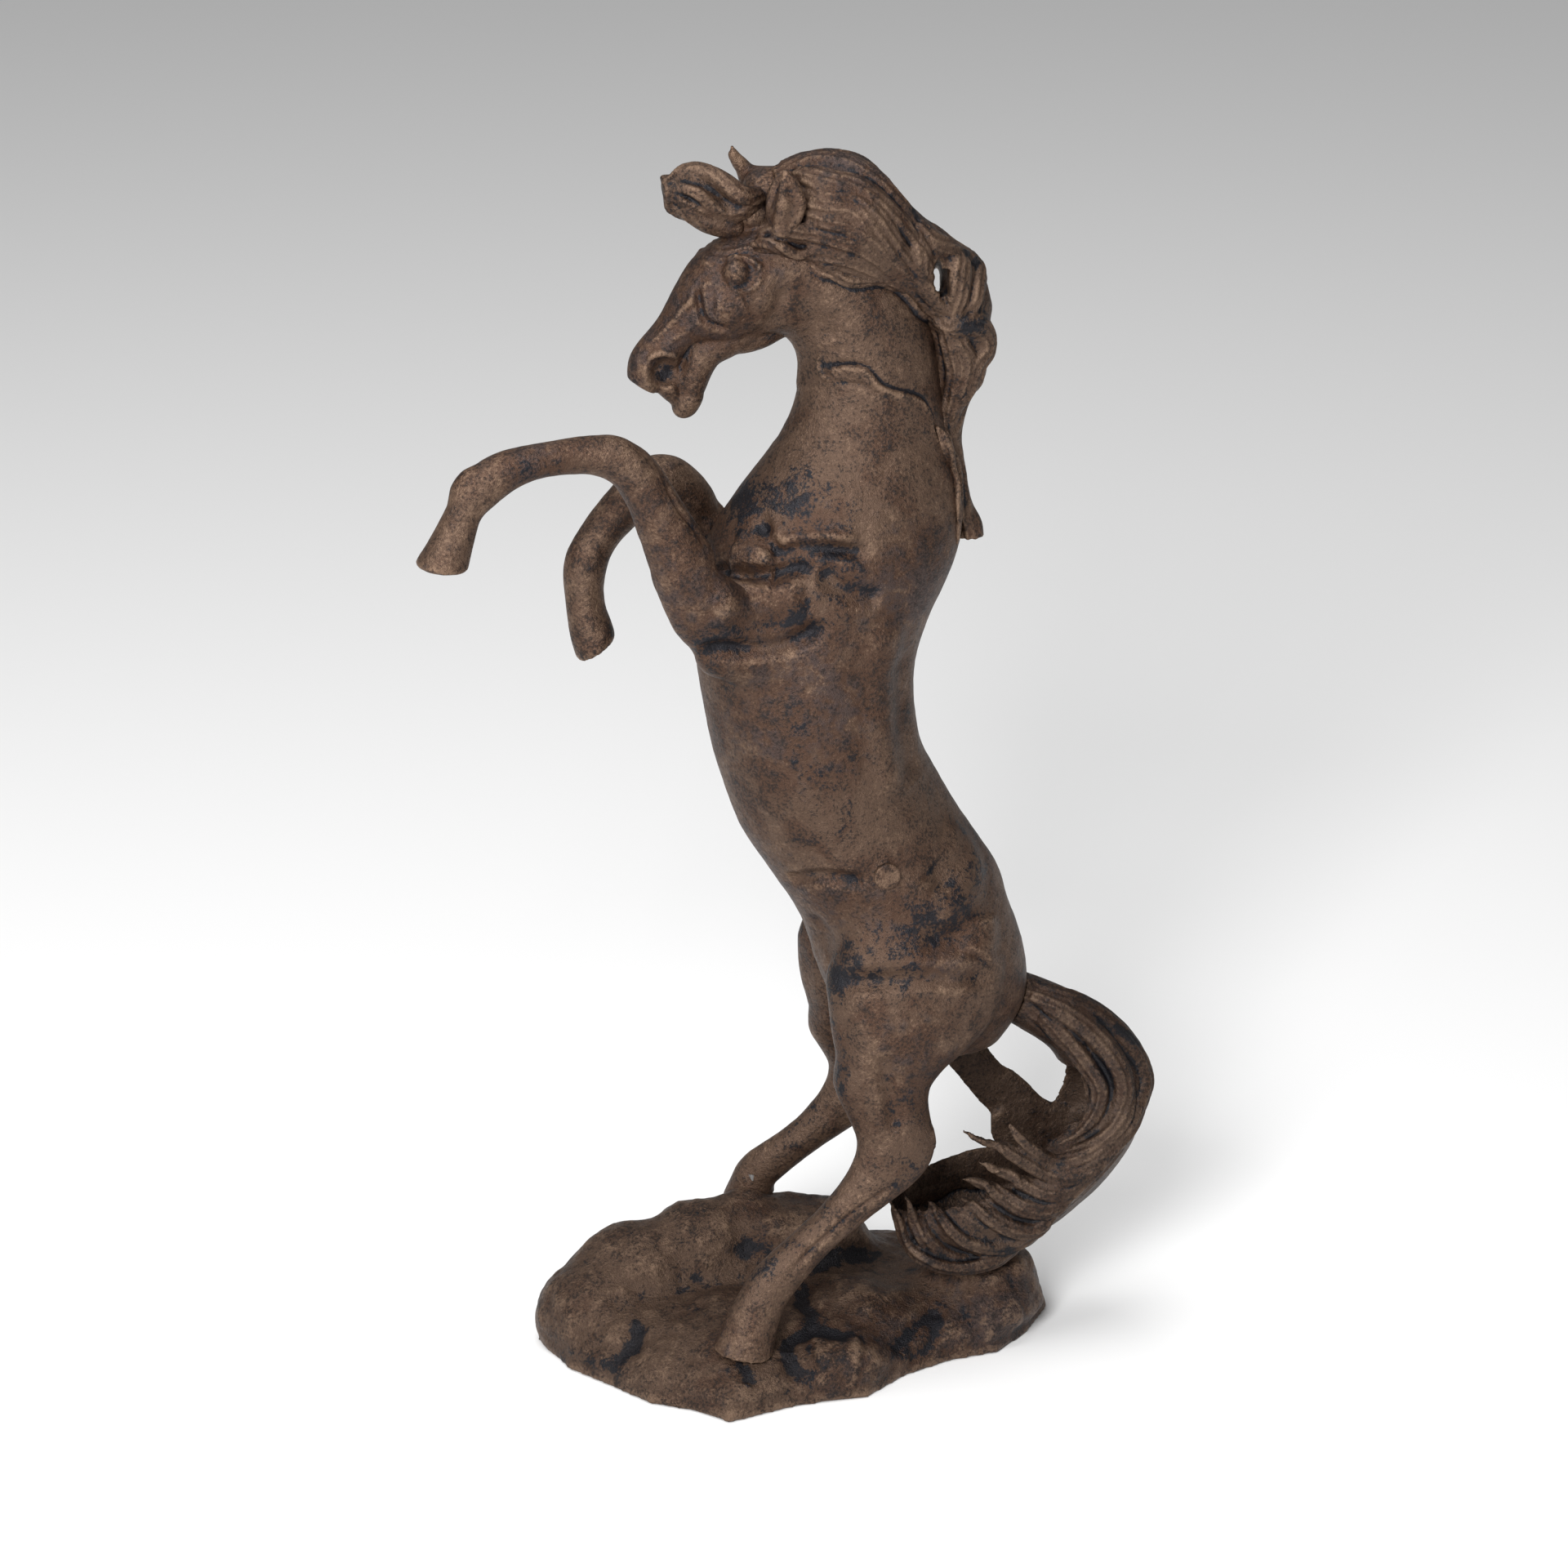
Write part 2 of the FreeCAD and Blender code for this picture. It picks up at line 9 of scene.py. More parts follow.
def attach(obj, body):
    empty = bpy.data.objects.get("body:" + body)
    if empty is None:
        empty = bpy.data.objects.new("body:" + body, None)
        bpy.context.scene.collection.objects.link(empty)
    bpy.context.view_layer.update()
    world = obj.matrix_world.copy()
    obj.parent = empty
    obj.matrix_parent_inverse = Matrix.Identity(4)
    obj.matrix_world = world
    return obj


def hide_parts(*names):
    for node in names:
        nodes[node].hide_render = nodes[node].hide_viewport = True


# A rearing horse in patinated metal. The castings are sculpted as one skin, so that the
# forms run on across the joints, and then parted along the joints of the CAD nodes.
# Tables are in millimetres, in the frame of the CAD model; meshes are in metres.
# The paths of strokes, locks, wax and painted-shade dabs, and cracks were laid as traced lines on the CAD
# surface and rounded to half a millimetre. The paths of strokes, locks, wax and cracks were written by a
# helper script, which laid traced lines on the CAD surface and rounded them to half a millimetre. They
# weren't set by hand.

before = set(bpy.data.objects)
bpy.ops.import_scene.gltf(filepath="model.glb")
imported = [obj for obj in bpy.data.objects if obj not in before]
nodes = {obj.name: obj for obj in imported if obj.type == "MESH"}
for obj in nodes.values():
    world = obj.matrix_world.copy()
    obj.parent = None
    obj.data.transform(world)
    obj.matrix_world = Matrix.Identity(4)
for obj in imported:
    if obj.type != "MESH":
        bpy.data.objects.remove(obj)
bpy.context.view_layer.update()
mm = 0.001
started = time.time()


def say(stage):
    print(f"{time.time() - started:6.1f} s  {stage}")


# Picking, joining and finishing meshes

def pick(*pieces):
    bpy.ops.object.select_all(action="DESELECT")
    for piece in pieces:
        piece.select_set(True)
    bpy.context.view_layer.objects.active = pieces[0]


def useModifier(piece, kind, **settings):
    pick(piece)
    modifier = piece.modifiers.new(kind.title(), kind)
    for key, value in settings.items():
        setattr(modifier, key, value)
    bpy.ops.object.modifier_apply(modifier=modifier.name)


def addMesh(name, points, faces):
    mesh = bpy.data.meshes.new(name)
    mesh.from_pydata([tuple(p) for p in np.asarray(points) * mm], [], faces)
    piece = bpy.data.objects.new(name, mesh)
    bpy.context.scene.collection.objects.link(piece)
    return piece


def copyForm(name, *nodeNames):
    # Merged copies of CAD forms, in one mesh.
    copies = []
    for nodeName in nodeNames:
        copy = bpy.data.objects.new(name, nodes[nodeName].data.copy())
        bpy.context.scene.collection.objects.link(copy)
        copies.append(copy)
    pick(*copies)
    if len(copies) > 1:
        bpy.ops.object.join()
    bpy.ops.object.mode_set(mode="EDIT")
    bpy.ops.mesh.select_all(action="SELECT")
    bpy.ops.mesh.remove_doubles(threshold=0.00001)
    bpy.ops.object.mode_set(mode="OBJECT")
    form = bpy.context.object
    form.name = name
    form.data.materials.clear()
    return form


def lump(place, radii, turn=(0, 0, 0)):
    bpy.ops.object.select_all(action="DESELECT")
    bpy.ops.mesh.primitive_ico_sphere_add(subdivisions=4, radius=mm, location=Vector(place) * mm,
                                          rotation=[math.radians(a) for a in turn], scale=radii)
    bpy.ops.object.transform_apply(location=True, rotation=True, scale=True)
    return bpy.context.object


def fuse(form, extras, voxel, rounding):
    # One even skin round a form and all that was added to it.
    pick(form, *extras)
    if extras:
        bpy.ops.object.join()
    useModifier(form, "REMESH", mode="VOXEL", voxel_size=voxel * mm, adaptivity=0)
    if rounding:
        useModifier(form, "SMOOTH", factor=0.5, iterations=rounding)
    return form


def keepLargest(piece):
    # Drop the inner skins that a hollow form leaves.
    pick(piece)
    bpy.ops.mesh.separate(type="LOOSE")
    parts = sorted(bpy.context.selected_objects, key=lambda part: len(part.data.vertices))
    for part in parts[:-1]:
        bpy.data.objects.remove(part)
    parts[-1].name = piece.name if parts[-1] == piece else "skin"
    return parts[-1]


def combine(piece, tool, operation):
    useModifier(piece, "BOOLEAN", operation=operation, object=tool, solver="MANIFOLD")


def finishPiece(piece, name, material, replaced):
    piece.name = name
    piece.data.name = name
    piece.data.materials.clear()
    piece.data.materials.append(material)
    pick(piece)
    bpy.ops.object.shade_smooth_by_angle(angle=math.radians(50))
    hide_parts(*replaced)
    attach(piece, "root")
    return piece


# Modelling by stroke

def smoothPath(points, spacing=0.7):
    p = np.array(points, float)
    if len(p) < 2:
        return p
    p = np.vstack([2 * p[0] - p[1], p, 2 * p[-1] - p[-2]])
    runs = []
    for a, b, c, d in zip(p, p[1:], p[2:], p[3:]):
        count = max(2, int(np.linalg.norm(c - b) / spacing))
        t = np.linspace(0, 1, count, endpoint=False)[:, None]
        runs.append(0.5 * (2 * b + (c - a) * t + (2 * a - 5 * b + 4 * c - d) * t ** 2
                           + (3 * b - a - 3 * c + d) * t ** 3))
    return np.vstack(runs + [p[-2][None]])


def mirrored(points):
    return [(x, -y, z) for x, y, z in points]


def unit(vectors):
    return vectors / np.maximum(np.linalg.norm(vectors, axis=-1, keepdims=True), 1e-9)


def smoothstep(low, high, values):
    t = np.clip((values - low) / (high - low), 0, 1)
    return t * t * (3 - 2 * t)


class Clay:
    # The points of a mesh, in millimetres, while it is being modelled.
    def __init__(self, piece):
        self.piece = piece
        mesh = piece.data
        self.count = len(mesh.vertices)
        self.points = np.zeros(self.count * 3)
        mesh.vertices.foreach_get("co", self.points)
        self.points = self.points.reshape(-1, 3) / mm
        edges = np.zeros(len(mesh.edges) * 2, np.int64)
        mesh.edges.foreach_get("vertices", edges)
        self.edges = edges.reshape(-1, 2)
        self.links = np.maximum(np.bincount(self.edges.ravel(), minlength=self.count), 1)
        self.waxAndShade = np.zeros(self.count)
        self.readNormals()

    def readNormals(self):
        mesh = self.piece.data
        normals = np.zeros(self.count * 3)
        mesh.vertices.foreach_set("co", (self.points * mm).ravel())
        mesh.update()
        mesh.vertices.foreach_get("normal", normals)
        self.normals = normals.reshape(-1, 3)

    def around(self, values, rounds):
        # Values averaged over their neighbours, again and again.
        a, b = self.edges.T
        values = values.reshape(self.count, -1).copy()
        for _ in range(rounds):
            total = np.empty_like(values)
            for column in range(values.shape[1]):
                total[:, column] = (np.bincount(a, values[b, column], self.count)
                                    + np.bincount(b, values[a, column], self.count))
            values = 0.5 * values + 0.5 * total / self.links[:, None]
        return values

    def near(self, line, radius):
        # Points within radius of a line, their distance, nearest sample and place along it.
        low, high = line.min(0) - radius, line.max(0) + radius
        found = np.nonzero(((self.points > low) & (self.points < high)).all(1))[0]
        if not len(found):
            return found, np.zeros(0), np.zeros(0, int), np.zeros(0)
        gap = np.empty(len(found))
        nearest = np.empty(len(found), int)
        for start in range(0, len(found), 20000):
            part = found[start:start + 20000]
            away = np.linalg.norm(self.points[part, None] - line[None], axis=2)
            nearest[start:start + 20000] = away.argmin(1)
            gap[start:start + 20000] = away.min(1)
        inside = gap < radius
        found, gap, nearest = found[inside], gap[inside], nearest[inside]
        return found, gap, nearest, nearest / max(1, len(line) - 1)

    def facing(self, found, line, nearest):
        # The outward direction at each sample, and how far each point faces that way.
        tree = np.array([np.linalg.norm(self.points[found] - p, axis=1).argmin() for p in line])
        outward = unit(self.normals[found[tree]])
        return outward, np.clip((self.normals[found] * outward[nearest]).sum(1) * 2, 0, 1)

    def stroke(self, radius, lift, path, blunt=False):
        line = smoothPath(path)
        found, gap, nearest, along = self.near(line, radius)
        if not len(found):
            return
        outward, faces = self.facing(found, line, nearest)
        fall = 0.5 + 0.5 * np.cos(np.pi * gap / radius)
        if blunt:
            fall = fall ** 0.5
        short = np.linalg.norm(line[-1] - line[0]) < radius
        ends = 1 if short else smoothstep(0, 0.18, np.minimum(along, 1 - along) + 0.03)
        self.points[found] += self.normals[found] * (lift * fall * ends * faces)[:, None]

    def step(self, radius, lift, path, hand=1):
        # Raise the skin on one side of a line, with a sharp edge along it.
        line = smoothPath(path)
        reach = abs(radius)
        found, gap, nearest, along = self.near(line, reach)
        outward, faces = self.facing(found, line, nearest)
        ahead = unit(np.gradient(line, axis=0))
        side = unit(np.cross(outward, ahead)) * hand * math.copysign(1, radius)
        across = ((self.points[found] - line[nearest]) * side[nearest]).sum(1)
        ends = smoothstep(0, 0.12, np.minimum(along, 1 - along) + 0.02)
        raised = smoothstep(-0.2, 0.6, across) * np.clip(1 - gap / reach, 0, 1) ** 1.3
        groove = -0.45 * np.exp(-((across + 0.6) / 0.7) ** 2)
        self.points[found] += self.normals[found] * ((lift * raised + groove) * ends * faces)[:, None]
        self.waxAndShade[found] += 0.7 * np.exp(-((across + 0.3) / 0.7) ** 2) * ends * faces

    def dab(self, radius, amount, path):
        # Dark wax left on the skin, which in the creases is also painted shade.
        line = smoothPath(path)
        found, gap, nearest, along = self.near(line, radius * 1.3)
        self.waxAndShade[found] += amount * smoothstep(radius * 1.3, 0, gap)

    def grab(self, radius, move, path):
        found, gap, nearest, along = self.near(smoothPath(path), radius)
        self.points[found] += np.outer(smoothstep(radius, radius * 0.3, gap), move)

    def swell(self, radius, amount, path):
        found, gap, nearest, along = self.near(smoothPath(path), radius)
        share = smoothstep(radius, radius * 0.6, gap)[:, None]
        self.points[found] += self.normals[found] * amount * share

    def soften(self, radius, rounds, paths):
        smooth = self.around(self.points, rounds)
        for path in paths:
            found, gap, nearest, along = self.near(smoothPath(path), radius)
            share = smoothstep(radius, radius * 0.5, gap)[:, None]
            self.points[found] += (smooth[found] - self.points[found]) * share

    def roughen(self, amount, size, seed=0):
        # Low, uneven swells, as in a casting from a hand-worked model.
        shift = Vector((seed * 31.7, seed * 17.3, seed * 5.1))
        coarse = np.array([noise.fractal(Vector(p) / size + shift, 0.8, 2.0, 3)
                           for p in self.points])
        self.points += self.normals * (amount * coarse)[:, None]

    def finish(self, fine=7, broad=30, sharpness=1.0):
        # Write the points back, with dark wax in the hollows (plus the dabs, partly painted shade) and, on
        # the ridges, worn metal that is also a painted highlight.
        self.readNormals()
        close = ((self.around(self.points, fine) - self.points) * self.normals).sum(1)
        wide = ((self.around(self.points, broad) - self.points) * self.normals).sum(1)
        hollow = np.clip(close * sharpness * 3 + wide * sharpness * 0.5, -1, 1)
        hollow = self.around(hollow, 2)[:, 0]
        for name, values in (("waxAndShade", np.clip(hollow, 0, 1) + self.waxAndShade),
                             ("rubAndHighlight", np.clip(-hollow, 0, 1))):
            layer = self.piece.data.attributes.new(name, "FLOAT", "POINT")
            layer.data.foreach_set("value", np.clip(values, 0, 1.5).astype(np.float32))


# Shader building

class Shade:
    # A socket that adds Math nodes when it is used in a sum.
    def __init__(self, maker, socket):
        self.maker, self.socket = maker, socket

    def sum(self, operation, first, second):
        return Shade(self.maker, self.maker.node("ShaderNodeMath", {"operation": operation},
                                                 {0: first, 1: second}).outputs[0])

    def __add__(self, other):
        return self.sum("ADD", self, other)

    def __radd__(self, other):
        return self.sum("ADD", other, self)

    def __sub__(self, other):
        return self.sum("SUBTRACT", self, other)

    def __rsub__(self, other):
        return self.sum("SUBTRACT", other, self)

    def __mul__(self, other):
        return self.sum("MULTIPLY", self, other)

    def __rmul__(self, other):
        return self.sum("MULTIPLY", other, self)


class Finish:
    # A material and the few moves that build its nodes.
    def __init__(self, name):
        self.material = bpy.data.materials.new(name)
        self.material.use_nodes = True
        self.tree = self.material.node_tree
        self.shader = self.tree.nodes["Principled BSDF"]

    def node(self, kind, settings=None, inputs=None):
        made = self.tree.nodes.new(kind)
        for key, value in (settings or {}).items():
            setattr(made, key, value)
        for key, value in (inputs or {}).items():
            self.feed(made.inputs[key], value)
        return made

    def feed(self, target, value):
        if isinstance(value, Shade):
            self.tree.links.new(value.socket, target)
        elif hasattr(value, "is_output"):
            self.tree.links.new(value, target)
        else:
            target.default_value = value

    def spots(self, place, scale, detail=4, roughness=0.55, distortion=0.0):
        made = self.node("ShaderNodeTexNoise", {}, {"Vector": place, "Scale": scale, "Detail": detail,
                                                    "Roughness": roughness, "Distortion": distortion})
        return Shade(self, made.outputs["Fac"])

    def between(self, value, low, high):
        made = self.node("ShaderNodeMapRange", {"interpolation_type": "SMOOTHSTEP"},
                         {"Value": value, "From Min": low, "From Max": high})
        return Shade(self, made.outputs["Result"])

    def layer(self, name):
        return Shade(self, self.node("ShaderNodeAttribute", {"attribute_name": name}).outputs["Fac"])

    def blend(self, share, first, second):
        made = self.node("ShaderNodeMix", {"data_type": "RGBA"})
        self.feed(made.inputs[0], share)
        self.feed(made.inputs[6], first if hasattr(first, "is_output") else (*first, 1))
        self.feed(made.inputs[7], second if hasattr(second, "is_output") else (*second, 1))
        return made.outputs[2]

    def bump(self, height, distance, strength, below=None):
        inputs = {"Height": height, "Distance": distance, "Strength": strength}
        if below is not None:
            inputs["Normal"] = below
        return self.node("ShaderNodeBump", {}, inputs).outputs["Normal"]

    def done(self, **sockets):
        for key, value in sockets.items():
            self.feed(self.shader.inputs[key.replace("_", " ")], value)
        return self.material


patinaTones = {
    "brown": (0.086, 0.050, 0.032),
    "rust": (0.062, 0.030, 0.017),
    "umber": (0.014, 0.009, 0.007),
    "tanRubAndHighlight": (0.250, 0.160, 0.104),
    "waxAndShade": (0.005, 0.006, 0.010),
    "plum": (0.044, 0.033, 0.034),
}


def darker(tones, share):
    return {name: tuple(part * share for part in tone) for name, tone in tones.items()}


def patina(name, tones=patinaTones, waxy=1.0, rubAndHighlightAmount=1.0, grain=1.0):
    # Brown oxide over cast metal: black wax in the hollows, with dabs that are partly painted shade; a
    # pale brown where hands and brush wear the ridges, which is also a painted highlight.
    f = Finish(name)
    place = f.node("ShaderNodeTexCoord").outputs["Object"]
    broad = f.spots(place, 22, 3, 0.5) - 0.5
    cloud = f.spots(place, 70, 5, 0.6, 0.5) - 0.5
    streak = f.spots(place, 240, 5, 0.65) - 0.5
    speck = f.spots(place, 1100, 3, 0.65) - 0.5
    sand = f.spots(place, 3000, 2, 0.6)
    waxAndShade, rubAndHighlight = f.layer("waxAndShade"), f.layer("rubAndHighlight")
    ground = f.blend(f.between(cloud + broad, -0.12, 0.14), tones["brown"], tones["rust"])
    ground = f.blend(f.between(broad * 1.2 + streak, 0.05, 0.3) * 0.6, ground, tones["plum"])
    ground = f.blend(f.between(speck * 1.4 + streak * 0.8 + cloud * 0.8, 0.0, 0.22) * 0.75, ground,
                     tones["umber"])
    # Painted highlight: the pale brown on the ridges is partly worn metal and partly a painted highlight.
    rubAndHighlightMask = f.between(rubAndHighlight * 0.5 * rubAndHighlightAmount - waxAndShade * 0.4 - streak - speck * 1.2 - cloud * 0.8,
                        0.06, 0.62)
    ground = f.blend(rubAndHighlightMask * 0.55, ground, tones["tanRubAndHighlight"])
    # Blue-black: wax in the hollows, and the dabs, which are partly painted shade in the creases.
    waxAndShadeMask = f.between(waxAndShade * waxy + cloud * 1.8 + streak * 2.2 + speck * 1.4, 0.42, 0.85)
    ground = f.blend(waxAndShadeMask * 0.92, ground, tones["waxAndShade"])
    roughness = 0.5 - waxAndShadeMask * 0.08 + speck * 0.3
    relief = f.bump(speck * 0.6 + sand * 0.5, 0.0006 * grain, 0.7)
    relief = f.bump(cloud * 0.5 + streak, 0.0016, 0.45, relief)
    return f.done(Base_Color=ground, Roughness=roughness, Metallic=0.6, Normal=relief)


# The horse: base forms from the castings, then muscles, folds and face

horse = {
    "voxel": 0.62,    # size of the skin's squares
    "rounding": 5,
    "blending": 240,   # how far joints are smoothed away
    "unevenness": 0.16,
    "unevenSize": 9,
}
horseLumps = [   # place, radii, turn in degrees about X, Y, Z
    ((-18.6, -10.2, 358.6), (3.9, 3.4, 3.9), (0, 0, 0)),         # eyes
    ((-18.6, 10.2, 358.6), (3.9, 3.4, 3.9), (0, 0, 0)),
    ((-4.2, -10.5, 376), (5.5, 5, 10), (0, 0, 0)),               # under the left ear
    ((-24.2, -3.4, 358.6), (4.6, 5.0, 2.6), (0, 40, 0)),         # brow
    ((-24.2, 3.4, 358.6), (4.6, 5.0, 2.6), (0, 40, 0)),
    ((-18.5, -6.0, 349.5), (10.5, 6.2, 9.5), (0, 20, 0)),        # cheeks
    ((-18.5, 6.0, 349.5), (10.5, 6.2, 9.5), (0, 20, 0)),
    ((-43.2, -3.6, 329.5), (4.0, 3.2, 4.4), (0, 0, 0)),          # nostrils
    ((-43.2, 3.6, 329.5), (4.0, 3.2, 4.4), (0, 0, 0)),
    ((-37.5, 0, 323.5), (4.6, 4.6, 3.6), (0, 20, 0)),            # closed lips
    ((-31.0, 0, 320.5), (4.6, 4.6, 6.5), (0, 22, 0)),            # chin
    ((-12.0, 0, 337.5), (13, 5, 5.5), (0, -13, 0)),              # under the jaw
    ((-34.5, 0, 326), (4.2, 3.2, 4.2), (0, 0, 0)),
    ((-5.5, 3.0, 379.5), (8, 7, 5.5), (0, 10, 0)),               # poll
    ((-12, 1, 372), (7.5, 6, 5), (0, 20, 0)),
    ((-12, -20, 243), (22, 8, 9), (0, -8, 0)),                   # elbow
    ((-14, -17, 256), (17, 8.5, 9), (0, 10, -12)),               # upper arms
    ((-8, 16, 259), (17, 9, 9), (0, 12, 10)),
    ((-4, -13, 270), (17, 10, 7), (0, 8, -20)),                  # shoulders
    ((-4, 13, 270), (17, 10, 7), (0, 8, 20)),
]
earLeaf = {   # left ear, laid back: outline from the root round to the tip
    "root": (-5.9, -13.5, 368.5), "middle": (-3.2, -15.8, 378.1), "tip": (-5.0, -15.2, 388.2),
    "stations": (0, 0.25, 0.5, 0.8, 1),
    "halfWidth": (3.0, 4.4, 4.8, 3.2, 0.6),
    "halfDepth": (2.4, 2.4, 2.0, 1.4, 0.6),
}
farEar = [(4.2, (2, 7.5, 379.5)), (4.2, (-5, 8.5, 380.5)), (3.6, (-10.5, 9, 382.3)),
          (2.7, (-13.6, 9, 385.4)), (2.3, (-15.2, 9, 387.6)), (1.6, (-15.9, 9, 389.0))]
